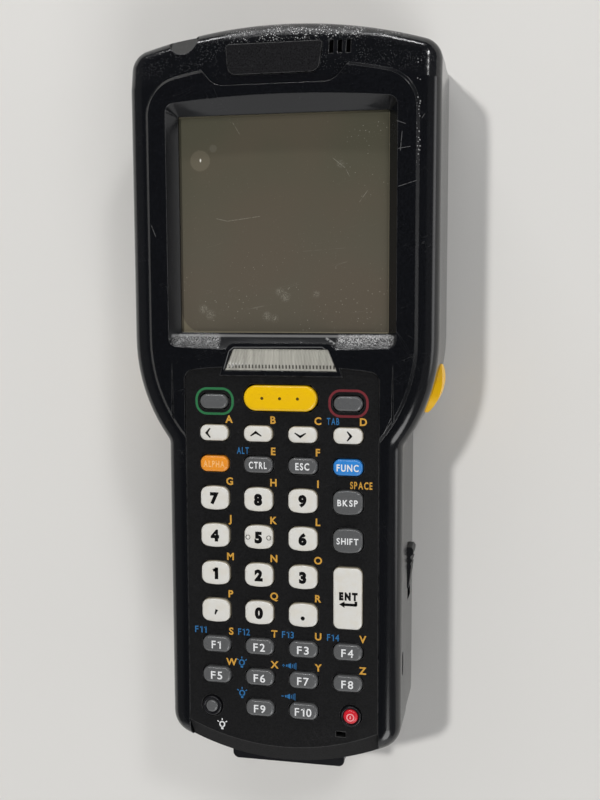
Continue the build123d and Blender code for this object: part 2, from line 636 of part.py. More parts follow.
def trigger():
    """Right trigger: an oval pad whose face bulges out of the shoulder, on a flange inside it."""
    y0, y1 = TRIGGER_Y - TRIGGER_LENGTH / 2, TRIGGER_Y + TRIGGER_LENGTH / 2
    low_x, high_x = TRIGGER_FOOT_X + 0.75, HEAD_HALF - 0.35
    pad = extrude(trigger_profile(TRIGGER_INNER_X + 0.1), HEAD_HALF)
    face = make_face([
        ThreePointArc((low_x, y0), (HEAD_HALF + TRIGGER_PROUD, TRIGGER_Y + 2), (high_x, y1)),
        Line((low_x, y0), (0, y0)),
        Line((0, y0), (0, y1)),
        Line((0, y1), (high_x, y1)),
    ])
    pad &= slab(face, TRIGGER_Z - TRIGGER_HEIGHT, TRIGGER_Z + TRIGGER_HEIGHT)
    half = TRIGGER_HEIGHT / 2 + 0.9
    flange = block(TRIGGER_INNER_X - TRIGGER_FLANGE, TRIGGER_INNER_X + 0.2, y0 + 0.4, y1 + 0.9,
                   TRIGGER_Z - half, TRIGGER_Z + half)
    return pad + flange


def battery_pack():
    """The pack: sloped head end so that it swings clear, round heel at its hooks."""
    y0, y1 = BAY_BOTTOM_Y + PACK_GAP, BAY_TOP_Y - PACK_GAP
    top = BAY_DEPTH - 0.4
    profile = make_face(Polyline((y0, 0), (y1, 0), (y1 - PACK_SLOPE, top), (y0, top), close=True))
    heel = [v for v in profile.vertices() if v.X < y0 + 0.1 and v.Y < 0.1]
    profile = fillet(heel, HINGE_Z - PACK_GAP)
    half = BAY_WIDTH / 2 - PACK_GAP
    side = Plane((-half, 0, 0), x_dir=(0, 1, 0), z_dir=(1, 0, 0))
    pack = extrude(side * profile, 2 * half)
    ends = [e.bounding_box().size for e in pack.edges()]
    upright = [e for e, size in zip(pack.edges(), ends) if size.Z > top / 2 and size.X < 0.1]
    pack = chamfer(upright, PACK_CORNER)
    shoulder = [e for e in pack.edges() if abs(e.center().Z - top) < 0.01]
    pack = chamfer(shoulder, 0.5)
    stem_y = LATCH_TOP_Y - 2.5
    catch = block(half - 1.4, half + 1, stem_y - LATCH_STEM - 0.3, stem_y + 0.3,
                  LATCH_Z - 1.4, LATCH_Z + 1.2)
    way_in = block(half - 1.4, half + 1, stem_y - 2 * LATCH_STEM - 0.4, stem_y - LATCH_STEM,
                   LATCH_Z - 1.4, top + 1)
    pack -= both_sides(catch + way_in)
    for x in (-HOOK_SPACING / 2, HOOK_SPACING / 2):
        tab = block(x - HOOK_WIDTH / 2, x + HOOK_WIDTH / 2, y0 - HOOK_LENGTH + 1.2, y0 + 2,
                    HINGE_Z - HOOK_RADIUS, HINGE_Z + HOOK_RADIUS)
        pack += tab
    for y in (-60.0, -72.0):
        pack -= block(-17, 17, y - 0.6, y + 0.6, -1, 0.4)
    return pack


def key_plan(name, grow=0.0):
    """A key's outline. Corners are cut straight, which keeps 38 keys and their holes light."""
    x, y, width, height, corner = KEYS[name]
    if width == height:
        return Pos(x, y) * Circle(width / 2 + grow)
    plan = Rectangle(width + 2 * grow, height + 2 * grow)
    return Pos(x, y) * chamfer(plan.vertices(), CORNER_CUT * (corner + grow))


def key(name):
    """A key: cap with an eased edge, on a flange that holds it under the panel."""
    x, y, width, height, _ = KEYS[name]
    cap = slab(key_plan(name), FLANGE_Z, PANEL_Z + KEY_RISE)
    cap = chamfer(cap.edges().group_by(Axis.Z)[-1], KEY_EDGE)
    half_x, half_y = width / 2 + KEY_FLANGE, height / 2 + KEY_FLANGE
    return cap + block(x - half_x, x + half_x, y - half_y, y + half_y, FLANGE_Z, FLANGE_TOP_Z)


# ---- fixed pieces ----
def keypad_frame():
    """The keypad's panel: bevelled end lip, skirt behind, one hole for each key."""
    solid = slab(panel_plan(), SKIRT_Z, PANEL_Z)
    solid -= bevel(HANDLE_END_Y + HANDLE_END_RADIUS, HANDLE_END_RADIUS - PANEL_BEVEL_Y,
                   HANDLE_END_RADIUS, PANEL_Z, PANEL_BEVEL_Z) & block(
        -PANEL_WIDTH, PANEL_WIDTH, HANDLE_END_Y - 5, HANDLE_END_Y + 25, 0, PANEL_Z + 20)
    half = PANEL_WIDTH / 2 - PANEL_WALL
    solid -= block(-half, half, SKIRT_END_Y, PANEL_TOP_Y - 3.4, SKIRT_Z - 1, PANEL_BACK_Z)
    for name in KEYS:
        solid -= slab(key_plan(name, KEY_GAP), PANEL_BACK_Z - 1, PANEL_Z + 1)
    for name in ("key_light", "key_power"):
        x, y = KEYS[name][:2]
        solid -= rod(x, y, ROUND_WELL / 2, PANEL_Z - 0.6, PANEL_Z + 1)
    microphone = block(14.2, 16.8, SKIRT_END_Y + 0.3, SKIRT_END_Y + 1.8, PANEL_BACK_Z - 1,
                       PANEL_Z + 1)
    return solid - microphone


def keypad_mat():
    half = PANEL_WIDTH / 2 - PANEL_WALL - 0.2
    return block(-half, half, SKIRT_END_Y + 0.3, PANEL_TOP_Y - 3.7, KEY_BOARD_TOP_Z, MAT_TOP_Z)


def keypad_board():
    """Contact board under the keys, with the plug block that joins it to the main board."""
    half = PANEL_WIDTH / 2 - PANEL_WALL - 0.3
    board = block(-half, half, SKIRT_END_Y + 0.4, PANEL_TOP_Y - 3.9, SKIRT_Z, KEY_BOARD_TOP_Z)
    plug = block(-8, 8, -22, -18, MAIN_BOARD_Z + BOARD_THICKNESS, SKIRT_Z)
    return board + plug


def touch_panel():
    return rounded_block(0, SCREEN_Y, SCREEN_WIDTH + 4.6, SCREEN_HEIGHT + 6.0, 0.8,
                         GLASS_Z - GLASS_THICKNESS, GLASS_Z)


def display_gasket():
    ring = rounded_block(0, SCREEN_Y, SCREEN_WIDTH + 4.0, SCREEN_HEIGHT + 5.4, 0.8,
                         GLASS_Z, CEILING_Z)
    return ring - block(-SCREEN_WIDTH / 2 - 0.3, SCREEN_WIDTH / 2 + 0.3, SCREEN_BOTTOM_Y - 0.3,
                        SCREEN_TOP_Y + 0.3, GLASS_Z - 1, CEILING_Z + 1)


def display_module():
    """Liquid-crystal cell in its pressed metal tray, with the ribbon's exit at the foot."""
    glass_bottom = GLASS_Z - GLASS_THICKNESS
    tray = rounded_block(0, SCREEN_Y, SCREEN_WIDTH + 4.0, SCREEN_HEIGHT + 5.6, 0.8,
                         SCREEN_MODULE_Z, glass_bottom)
    return tray - block(-12, 12, SCREEN_BOTTOM_Y - 4.7, SCREEN_BOTTOM_Y - 1.7, SCREEN_MODULE_Z - 1,
                        SCREEN_MODULE_Z + 1.6)


def main_board():
    """The logic board: it follows the housing and passes round the screw bosses."""
    board = slab(hollow_plan(WALL + 0.5), MAIN_BOARD_Z, MAIN_BOARD_Z + BOARD_THICKNESS)
    for x, y in SCREW_PLACES:
        board -= boss(x, y, MAIN_BOARD_Z - 1, MAIN_BOARD_Z + 3, 0.4)
    for x, y, width, height, rise in ((-12, 60, 16, 16, 1.6), (13, 62, 12, 12, 1.2),
                                      (-10, 34, 14, 10, 1.4), (14, 36, 10, 14, 1.0),
                                      (0, -60, 20, 8, 2.0)):
        board += block(x - width / 2, x + width / 2, y - height / 2, y + height / 2,
                       MAIN_BOARD_Z - rise, MAIN_BOARD_Z)
    return board


def battery_contact_box(grow=0.0):
    half, high = CONTACT_WIDTH / 2 + grow, CONTACT_HEIGHT / 2 + grow
    return block(-half, half, CONTACT_Y - high, CONTACT_Y + high, BAY_DEPTH - 1, MAIN_BOARD_Z)


def battery_contacts():
    """Sprung contact block between the main board and the pack."""
    housing = battery_contact_box()
    housing &= block(-50, 50, -100, 100, BAY_DEPTH + 0.3, MAIN_BOARD_Z)
    for i in range(5):
        x = (i - 2) * 3.0
        housing += block(x - 0.5, x + 0.5, CONTACT_Y - 1, CONTACT_Y + 1, BAY_DEPTH - 0.2,
                         BAY_DEPTH + 0.4)
    return housing


def scan_engine():
    """Laser scan engine: a cast block with its mirror opening facing the window."""
    y1 = TOP_Y - WINDOW_RECESS - WINDOW_THICKNESS - 3.4
    engine = block(-11, 11, y1 - 14, y1, WALL, WINDOW_Z + WINDOW_HEIGHT / 2)
    floor = WALL + 2.2
    opening = block(-8.5, 8.5, y1 - 8, y1 + 1, floor, WINDOW_Z + WINDOW_HEIGHT / 2 - 1.6)
    height = 8.3
    mirror_block = Pos(-2, y1 - 5.0, floor + height / 2 - 0.1) * Rot(0, 0, 30) * Box(6, 1.2, height)
    return engine - opening + mirror_block


def scan_window():
    y1 = TOP_Y - WINDOW_RECESS
    pane = Plane((0, y1 - WINDOW_THICKNESS + 0.1, WINDOW_Z), x_dir=(-1, 0, 0), z_dir=(0, 1, 0))
    return extrude(pane * RectangleRounded(WINDOW_WIDTH, WINDOW_HEIGHT, 1.4),
                   WINDOW_THICKNESS - 0.1)


def speaker():
    body = block(*speaker_box(FIT), SPEAKER_TOP_Z - SPEAKER_THICKNESS, SPEAKER_TOP_Z)
    return chamfer(body.edges().group_by(Axis.Z)[0], 0.6)


def led_lens():
    """Ribbed light guide above the keypad."""
    return slab(lens_plan(), PLATEAU_Z - LENS_THICKNESS, PLATEAU_Z - 0.1)


def badge_plate():
    """Plain plate above the display; its face falls back with the brow."""
    plate = slab(badge_plan(), PLATEAU_Z - BADGE_DEPTH, PLATEAU_Z + 1)
    y1 = TOP_Y - BADGE_MARGIN
    y0 = y1 - BADGE_HEIGHT
    low, high = PLATEAU_Z - 0.1, PLATEAU_Z + 3
    face = make_face(Polyline(
        (y0 - 1, low), (y0, low), (y1, low - BADGE_FALL), (y1 + 1, low - BADGE_FALL - 0.1),
        (y1 + 1, high), (y0 - 1, high), close=True))
    side = Plane((-HEAD_HALF, 0, 0), x_dir=(0, 1, 0), z_dir=(1, 0, 0))
    return plate - extrude(side * face, HEAD_WIDTH)


def dock_connector():
    """Contact shroud that stands out of the handle's end."""
    y0, y1 = -TOP_Y, HANDLE_END_Y + 8
    shroud = rounded_block(0, (y0 + y1) / 2, LUG_WIDTH, y1 - y0, 1.6,
                           LUG_Z - LUG_HEIGHT / 2, LUG_Z + LUG_HEIGHT / 2)
    return shroud - block(-11, 11, y0 - 1, y0 + 3.5, LUG_Z - 1.2, LUG_Z + 1.2)


def case_screws():
    """Six screws through the rear bosses into the front ones."""
    screws = []
    for x, y in SCREW_PLACES:
        head = rod(x, y, SCREW_HEAD_RADIUS, 1.2, 3.0)
        screws.append(head + rod(x, y, SCREW_RADIUS, 2.9, SEAM_Z + 6))
    return Compound(children=screws)


def write(shape, name):
    export_step(shape, f"parts/{name}.step")


os.makedirs("parts", exist_ok=True)
for piece in (
    front_housing, rear_housing, touch_panel, display_gasket, display_module, led_lens,
    badge_plate, keypad_frame, keypad_mat, keypad_board, main_board, scan_engine, scan_window,
    speaker, dock_connector, battery_contacts, case_screws, battery_pack,
):
    write(piece(), piece.__name__)
write(thumb_latch(), "latch_right")
write(mirror(thumb_latch(), Plane.YZ), "latch_left")
write(trigger(), "trigger_right")
write(mirror(trigger(), Plane.YZ), "trigger_left")
for key_name in KEYS:
    write(key(key_name), key_name)
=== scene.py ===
# %% [markdown]
# # A portable barcode data terminal
# The construction model already holds every part at its real size. This lesson gives it its
# looks: the finish of each plastic, the soft crowned keys with their printed legends, the ribbed
# light guide and the worn glass over the display.

# %% Load the frame
import math
import json
from string import ascii_uppercase

import bpy
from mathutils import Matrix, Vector


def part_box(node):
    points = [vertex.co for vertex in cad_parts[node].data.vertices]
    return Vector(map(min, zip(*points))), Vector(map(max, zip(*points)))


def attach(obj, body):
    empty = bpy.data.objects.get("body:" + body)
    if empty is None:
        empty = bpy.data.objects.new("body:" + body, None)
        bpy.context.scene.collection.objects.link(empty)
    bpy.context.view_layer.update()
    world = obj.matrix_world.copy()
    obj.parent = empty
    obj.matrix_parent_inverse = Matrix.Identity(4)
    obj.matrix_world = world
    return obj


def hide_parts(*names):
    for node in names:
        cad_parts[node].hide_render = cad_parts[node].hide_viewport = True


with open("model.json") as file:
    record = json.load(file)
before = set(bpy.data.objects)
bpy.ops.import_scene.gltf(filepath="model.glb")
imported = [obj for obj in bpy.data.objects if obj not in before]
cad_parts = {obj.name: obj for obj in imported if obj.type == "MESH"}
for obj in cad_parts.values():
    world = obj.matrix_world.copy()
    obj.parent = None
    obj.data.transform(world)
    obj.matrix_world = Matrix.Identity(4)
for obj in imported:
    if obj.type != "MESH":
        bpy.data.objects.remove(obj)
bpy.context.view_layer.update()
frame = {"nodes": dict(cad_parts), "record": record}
nodes = frame["nodes"]
MM = 0.001

# %% [markdown]
# ## Places taken from the frame
# No piece is placed by eye. Each key, the panel face and the light guide are asked where they
# are, so that the new pieces follow if the construction changes.

# %% Places of the panel and the keys
PANEL_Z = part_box("keypad_frame")[1].z
KEY_NAMES = sorted(name for name in nodes if name.startswith("key_"))
FLANGE = 0.6 * MM  # how far a key's flange stands out round its cap


def cap_box(name):
    """The middle, width, height and top of a key's cap, without the flange round it."""
    low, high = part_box(name)
    centre = (low + high) / 2
    return centre.x, centre.y, high.x - low.x - 2 * FLANGE, high.y - low.y - 2 * FLANGE, high.z


print(len(KEY_NAMES), "keys; panel face at", round(PANEL_Z / MM, 2), "mm")

# %% [markdown]
# ## Arithmetic with shader sockets
# A procedural finish is a sum of patterns. Wiring Math nodes by hand hides that sum, so this
# small class lets sockets be added, scaled and compared as numbers are. Each operation on a
# wrapped socket adds the node that does it. The lengths in a finish are in millimetres.


# %% The socket wrapper
class Signal:
    """A number that changes over the surface."""

    def __init__(self, graph, socket):
        self.graph = graph
        self.socket = socket

    def math(self, operation, *others, flip=False):
        operands = [self, *others]
        if flip:
            operands.reverse()
        return self.graph.node("ShaderNodeMath", {"operation": operation}, operands)

    def __add__(self, other):
        return self.math("ADD", other)

    def __sub__(self, other):
        return self.math("SUBTRACT", other)

    def __rsub__(self, other):
        return self.math("SUBTRACT", other, flip=True)

    def __mul__(self, other):
        return self.math("MULTIPLY", other)

    __radd__ = __add__

    def above(self, edge, width):
        """0 below the edge, 1 above it, with a soft step of that width."""
        return self.graph.node(
            "ShaderNodeMapRange",
            {"interpolation_type": "SMOOTHSTEP", "clamp": True},
            {"Value": self, "From Min": edge - width / 2, "From Max": edge + width / 2})

    def below(self, edge, width):
        return 1 - self.above(edge, width)

    def near(self, middle, reach, width):
        """1 within reach of the middle, 0 beyond it, with a soft step of that width."""
        away = self - middle if middle else self
        return away.math("ABSOLUTE").below(reach, width)


def most(masks):
    """The largest of several masks."""
    largest, *others = masks
    for mask in others:
        largest = largest.math("MAXIMUM", mask)
    return largest


class Graph:
    """A node tree that grows by one call for each node."""

    def __init__(self, owner):
        owner.use_nodes = True
        self.tree = owner.node_tree

    def node(self, kind, settings=None, inputs=(), output=0):
        """Adds a node: its settings first, then the value or link of each input."""
        made = self.tree.nodes.new(kind)
        for key, value in (settings or {}).items():
            setattr(made, key, value)
        pairs = inputs.items() if isinstance(inputs, dict) else enumerate(inputs)
        for key, value in pairs:
            self.feed(made.inputs[key], value)
        return Signal(self, made.outputs[output])

    def feed(self, socket, value):
        if isinstance(value, Signal):
            self.tree.links.new(value.socket, socket)
        else:
            socket.default_value = value


print("sockets can be added, scaled and compared")

# %% [markdown]
# ## Patterns of a finish
# Noise, specks, scratches and masks are made from object coordinates, so that they stay on the
# part when it moves. Two more patterns come from the shape itself: a normal that turns smoothly
# over edges, and the rim where it does so.

# %% The patterns
MIX_FIRST, MIX_SECOND, MIX_RESULT = 6, 7, 2  # the colour sockets of a Mix node
SPECK_SOFTNESS = 0.08
STROKE_END = 0.4  # over this length a scratch fades out at its ends


class Paint(Graph):
    """One material, built from a Principled shader and the patterns that feed it."""

    def __init__(self, name, colour, roughness, **sockets):
        self.material = bpy.data.materials.new(name)
        super().__init__(self.material)
        self.shader = self.tree.nodes["Principled BSDF"]
        self.set(Base_Color=(*colour, 1), Roughness=roughness, **sockets)
        self.place = self.node("ShaderNodeTexCoord", output="Object")

    def set(self, **sockets):
        for key, value in sockets.items():
            self.feed(self.shader.inputs[key.replace("_", " ")], value)

    def mapped(self, scale=(1, 1, 1), turn=0.0, shift=(0, 0)):
        """Object coordinates, shifted, turned about Z by radians and stretched."""
        inputs = {"Vector": self.place, "Location": (shift[0] * MM, shift[1] * MM, 0),
                  "Scale": scale, "Rotation": (0, 0, turn)}
        return self.node("ShaderNodeMapping", {"vector_type": "TEXTURE"}, inputs)

    def axis(self, letter, vector=None):
        """One of the object coordinates, or one of another vector's."""
        metres = self.node("ShaderNodeSeparateXYZ", None, [vector or self.place], output=letter)
        return metres * (1 / MM)

    def noise(self, size, detail=2.0, vector=None, roughness=0.5):
        """Cloudy pattern from 0 to 1 with blotches of about that size."""
        inputs = {"Vector": vector or self.place, "Scale": 1 / (size * MM), "Detail": detail,
                  "Roughness": roughness}
        return self.node("ShaderNodeTexNoise", None, inputs)

    def dots(self, size, share):
        """Round specks scattered one to a cell, with that share of the cell's width."""
        inputs = {"Vector": self.place, "Scale": 1 / (size * MM)}
        return self.node("ShaderNodeTexVoronoi", None, inputs).below(share, SPECK_SOFTNESS)

    def scratches(self, turn, spacing, length, width):
        """Fine straight lines: the level curves of a noise stretched along one direction."""
        stretched = self.mapped((length / spacing, 1, 1), math.radians(turn))
        return self.noise(spacing, 1.0, stretched).near(0.5, width, width)

    def stroke(self, x1, y1, x2, y2, width):
        """One straight scratch between two points."""
        along = Vector((x2 - x1, y2 - y1))
        local = self.mapped(turn=math.atan2(along.y, along.x), shift=((x1 + x2) / 2, (y1 + y2) / 2))
        lengthwise = self.axis("X", local).near(0, along.length / 2, STROKE_END)
        return lengthwise * self.axis("Y", local).near(0, width / 2, width / 2)

    def spot(self, place, radius, softness, stretch=1.0):
        """A filled round mark, squeezed across by stretch."""
        away_x = (self.axis("X") - place[0]) * stretch
        away_y = self.axis("Y") - place[1]
        distance = (away_x * away_x + away_y * away_y).math("SQRT")
        return distance.below(radius, softness)

    def blend(self, factor, *colours):
        """Mixes two colours."""
        first, second = (c if isinstance(c, Signal) else (*c, 1) for c in colours)
        inputs = {"Factor": factor, MIX_FIRST: first, MIX_SECOND: second}
        return self.node("ShaderNodeMix", {"data_type": "RGBA"}, inputs, MIX_RESULT)

    def bump(self, height, depth, under=None):
        """A Bump node fed by height, whose full step is that depth, laid over another normal."""
        inputs = {"Height": height, "Distance": depth * MM, "Strength": 1.0}
        if under:
            inputs["Normal"] = under
        return self.node("ShaderNodeBump", None, inputs, "Normal")

    def softened(self, radius):
        """A normal that turns smoothly over sharp edges, as a moulded edge does."""
        return self.node("ShaderNodeBevel", {"samples": 6}, {"Radius": radius * MM}, "Normal")

    def rim(self, radius):
        """1 beside an edge, where the softened normal leaves the true one."""
        true = self.node("ShaderNodeNewGeometry", output="True Normal")
        turned = self.node("ShaderNodeVectorMath", {"operation": "DOT_PRODUCT"},
                           [self.softened(radius), true], "Value")
        return (1 - turned).above(0.05, 0.08)


def toned(colour, factor, lift=0.0):
    """A darker or lighter kind of a colour."""
    return tuple(c * factor + lift for c in colour)


print("patterns ready")

# %% [markdown]
# ## Black moulded plastic
# The housing is a semi-gloss black shell that has been carried for years. Four things make it
# read as plastic: edges that are softly rounded by the mould, a fine grain in the bump,
# roughness that drifts where hands have polished it, and pale hairline scratches and dust that
# lift the black. A broken pale line along the edges is edge wear and a painted highlight. A
# flat dark colour would look like paper. The same recipe with other numbers gives the panel,
# the latches and the dock connector.


# %% Black plastics
# Pale colour of scuffs, and of painted glints and highlights.
SCUFF_AND_GLINT = (0.55, 0.55, 0.55)
DUST = (0.08, 0.08, 0.08)
PIT_SIZE, PIT_DEPTH = 0.55, 0.12
GRAIN_SIZE = 0.35
MATT_END_Y = -78  # the panel's foot end is matter than its face


def black_plastic(name, colour, roughness, grain, scratched, dusty, edge=0.25, edge_wear_and_highlight=0.0,
                  marks=None, matt_end=False, **sockets):
    """marks(paint) gives a mask of pale scuffs and painted glints, and a mask of rough pits."""
    paint = Paint(name, colour, roughness, **sockets)
    drift = paint.noise(18, 3.0)
    worn = paint.noise(9).above(0.60, 0.12)
    lines = (paint.scratches(20, 1.6, 26, 0.002) + paint.scratches(-55, 2.1, 18, 0.002)) * worn
    dust = paint.dots(0.6, 0.06) * paint.noise(6).above(0.50, 0.2)
    mottle = paint.noise(GRAIN_SIZE, 3.0, roughness=0.7).above(0.5, 0.35)
    base = paint.blend(mottle, toned(colour, 0.6), toned(colour, 1.5, 0.001))
    base = paint.blend(lines * scratched, base, toned(colour, 1, 0.06))
    base = paint.blend(dust * dusty, base, DUST)
    # Edge wear and painted highlight: a broken pale line along the moulded edges.
    if edge_wear_and_highlight:
        broken = paint.noise(1.6, 3.0).above(0.42, 0.25)
        base = paint.blend(paint.rim(edge * 0.8) * broken * edge_wear_and_highlight, base, SCUFF_AND_GLINT)
    rough = roughness - 0.03 + drift * 0.06 + lines * 0.15 + dust * 0.3
    if matt_end:
        below_face = paint.axis("Z").below(PANEL_Z / MM - 0.1, 0.1)
        rough = rough + paint.axis("Y").below(MATT_END_Y, 1) * below_face * 0.5
    normal = paint.bump(paint.noise(GRAIN_SIZE) - lines * 0.6, grain, paint.softened(edge))
    if marks:
        # The pale marks are scuffs and dust together with painted glints and highlights.
        scuffs_and_glints, pits = marks(paint)
        base = paint.blend(scuffs_and_glints, base, SCUFF_AND_GLINT)
        rough = rough + pits * 0.06
        normal = paint.bump(paint.noise(PIT_SIZE, 3.0, roughness=0.7) * pits, PIT_DEPTH, normal)
    paint.set(Base_Color=base, Roughness=rough, Normal=normal)
    return paint.material


PANEL = black_plastic("panel_coating", (0.0085, 0.0085, 0.0090), 0.38, 0.010, 0.2, 0.5, 0.2,
                      edge_wear_and_highlight=0.18, matt_end=True, Specular_IOR_Level=0.3)
TRIM = black_plastic("trim_plastic", (0.006, 0.006, 0.008), 0.34, 0.006, 0.4, 0.5, 0.2)
GLOSS = black_plastic("plate_gloss", (0.011, 0.011, 0.012), 0.26, 0.006, 0.2, 0.4,
                      edge_wear_and_highlight=0.22, Specular_IOR_Level=0.25)
print("black plastics", [m.name for m in (PANEL, TRIM, GLOSS)])

# %% [markdown]
# ## Wear and painted highlights of the housing
# Table tops rub the crown at the head end, which is pitted, and painted glints on it stand for
# the sparkle of its glare. Specks of dust lie on the brow. Painted glints run along the ridge
# beside the display. Painted glare specks, a painted highlight line and a painted glint stroke
# lie on the rough slope at the foot of the screen well, and a painted highlight marks the rim
# round the light guide. Each place is a product of masks along the axes, and a fine pattern
# breaks it into specks.

# %% Marks on the housing
# Where the marks are. A pair is a middle and half a width.
UPPER_Z = 32.5  # the head end's wear, dust and painted glints stay above this height
CROWN_X, CROWN_Y = (14, 27), 91.6
BROW_Y = 84.0
RIDGE_X, RIDGE_Y = (34.35, 0.45), (75, 14)
WELL_FLOOR, WELL_TOP = 32.9, 37.4
FOOT_X, FOOT_Y = (0, 28.6), (17.4, 1.9)  # the slope at the foot of the well
LENS_X = (-1.0, 15.4)  # the light guide covers the middle of that slope
# Where a painted highlight line runs along the foot slope, near the display.
FOOT_HIGHLIGHT_Y = (18.9, 0.3)
# A painted glint stroke on the foot slope, from one end to the other.
GLINT_STROKE = (11.2, 18.5, 13.8, 17.0)
BEZEL_SCRATCHES = (
    (29.6, 55.4, 33.9, 56.7), (29.5, 64.4, 32.4, 64.8), (30.4, 68.4, 30.0, 63.9),
    (34.9, 71.2, 35.7, 72.4), (26.3, -5.3, 28.1, -1.2), (-33.4, 47.0, -32.3, 44.2),
    (29.0, 71.0, 31.2, 70.2))
# The edge of the opening round the light guide, where a painted highlight is drawn, as a chain of
# points.
LENS_RIM = ((-14.7, 10.5), (-13.3, 15.1), (-12.1, 16.1), (10.8, 16.3), (12.2, 15.3), (13.8, 10.3))


def housing_marks(paint):
    """The pale marks of the case, with scuffs, dust and painted glints and highlights, and its rough
    pits.
    """
    x, y, z = (paint.axis(letter) for letter in "XYZ")
    upper = z.above(UPPER_Z, 2.5)
    crown = y.above(CROWN_Y, 2.0) * x.near(*CROWN_X, 12) * upper
    brow = y.above(BROW_Y, 6.0) * upper * 0.16
    ridge = x.near(*RIDGE_X, 0.3) * y.near(*RIDGE_Y, 4)
    well = z.below(WELL_TOP, 0.3) * z.above(WELL_FLOOR, 0.3)
    foot = y.near(*FOOT_Y, 0.5) * well * x.near(*FOOT_X, 0.6)
    beside_lens = 1 - x.near(*LENS_X, 1.6)
    # A painted highlight line along the foot slope, near the display.
    foot_highlight_line = y.near(*FOOT_HIGHLIGHT_Y, 0.3) * foot * 0.3
    fine = paint.noise(0.36, 4.0, roughness=0.8).above(0.54, 0.09)
    # Painted glare on the rough slope at the foot of the well: pale specks, brighter towards the
    # display and on the right.
    patchy = most([fine, paint.dots(0.5, 0.24)]) * paint.noise(2.4).above(0.36, 0.2)
    patchy = patchy * (y.above(17.0, 1.6) * 0.75 + 0.25)
    foot_glare_specks = patchy * foot * beside_lens * (x.above(0, 1) * 0.4 + 0.55)
    cloudy = paint.noise(3.5).above(0.46, 0.15)
    cloudy_fine = paint.noise(0.5, 3.0).above(0.48, 0.1)
    # Painted glints on the crown stand for the sparkle of its glare; on the brow they are dust
    # specks.
    crown_glints_and_brow_dust = most([paint.dots(0.5, 0.26) * crown, paint.dots(0.36, 0.2) * brow]) * cloudy
    # A painted glint stroke on the foot slope.
    painted_glint_stroke = paint.stroke(*GLINT_STROKE, 0.5) * foot * cloudy_fine * 0.5
    # Painted glints along the ridge beside the display.
    ridge_glints = paint.dots(0.8, 0.22) * ridge * 0.5
    lines = most([paint.stroke(*ends, 0.13) for ends in BEZEL_SCRATCHES])
    lines = lines * paint.noise(0.8).above(0.38, 0.25) * 0.2
    # A painted highlight along the rim of the opening round the light guide.
    lens_rim_highlight = most([paint.stroke(*a, *b, 0.16) for a, b in zip(LENS_RIM, LENS_RIM[1:])]) * 0.3
    scuffs_and_glints = most([crown_glints_and_brow_dust, ridge_glints, foot_glare_specks, foot_highlight_line, painted_glint_stroke, lines, lens_rim_highlight])
    return scuffs_and_glints, most([crown, foot * beside_lens])


HOUSING = black_plastic("housing_plastic", (0.0040, 0.0044, 0.0058), 0.15, 0.003, 0.25, 0.6,
                        edge_wear_and_highlight=0.11, marks=housing_marks)
print(len(BEZEL_SCRATCHES), "single scratches on the housing")

# %% [markdown]
# ## Coloured key plastics
# Keys are moulded in one colour and coated, so they are smoother than the housing. Skin oil
# and dirt gather on each cap as a faint cloudy stain. The lower side walls of the caps are
# darker brown, most on the pale keys.


# %% Key plastics
FLANK_Z = 37.95  # the side walls of the caps are below this height


def key_plastic(name, colour, roughness=0.30, stain=(0.8, 0.7, 0.5), stain_share=0.2, flank=0.0,
                **sockets):
    """flank is how much darker brown the lower side walls of the cap are."""
    paint = Paint(name, colour, roughness, Coat_Weight=0.3, Coat_Roughness=0.12, **sockets)
    grime = paint.noise(2.4, 3.0).above(0.55, 0.3)
    stained = tuple(c * s for c, s in zip(colour, stain))
    base = paint.blend(grime * stain_share, colour, stained)
    base = paint.blend(paint.dots(0.9, 0.06) * 0.35, base, toned(colour, 0.4))
    # Darker brown low on the side walls.
    if flank:
        low = paint.axis("Z").below(FLANK_Z, 0.5)
        base = paint.blend(low * flank, base, toned(stained, 0.6))
    paint.set(Base_Color=base, Roughness=roughness + grime * 0.12)
    paint.set(Normal=paint.bump(paint.noise(0.25), 0.003))
    return paint.material


KEY_PAINT = {
    "key_white": key_plastic("ivory_key", (0.71, 0.70, 0.665), 0.30, (0.85, 0.72, 0.48), 0.16, 0.8),
    "key_grey": key_plastic("grey_key", (0.105, 0.107, 0.110), 0.26, (0.7, 0.7, 0.7)),
    "key_orange": key_plastic("orange_key", (0.84, 0.30, 0.025), flank=0.5),
    "key_blue": key_plastic("blue_key", (0.035, 0.24, 0.66), 0.28, (0.7, 0.7, 0.8), flank=0.3),
    "key_yellow": key_plastic("yellow_key", (0.86, 0.52, 0.003), 0.30, (0.9, 0.8, 0.5), flank=0.5),
    "key_red": key_plastic("red_key", (0.66, 0.015, 0.03), 0.25, (0.7, 0.5, 0.5)),
}
TRIGGER_PAINTED_GLOW = {"Emission_Color": (1.0, 0.46, 0.0, 1), "Emission_Strength": 0.18}  # painted light: the trigger glows a little, so it looks brighter than the lamps light it
TRIGGER = key_plastic("trigger_plastic", (1.0, 0.60, 0.001), 0.40, **TRIGGER_PAINTED_GLOW)
print("key plastics", list(KEY_PAINT))


# %% [markdown]
# ## Printing inks
# Legends are screen-printed. Ink is matter than the plastic under it and slightly uneven, with
# pinholes where fingers have worn it.


# %% Inks
def ink(name, colour, wear):
    paint = Paint(f"ink_{name}", colour, 0.55, Specular_IOR_Level=0.2)
    thin = paint.noise(0.5, 3.0).above(0.62, 0.2)
    paint.set(Base_Color=paint.blend(thin * wear, colour, toned(colour, 0.35)))
    return paint.material


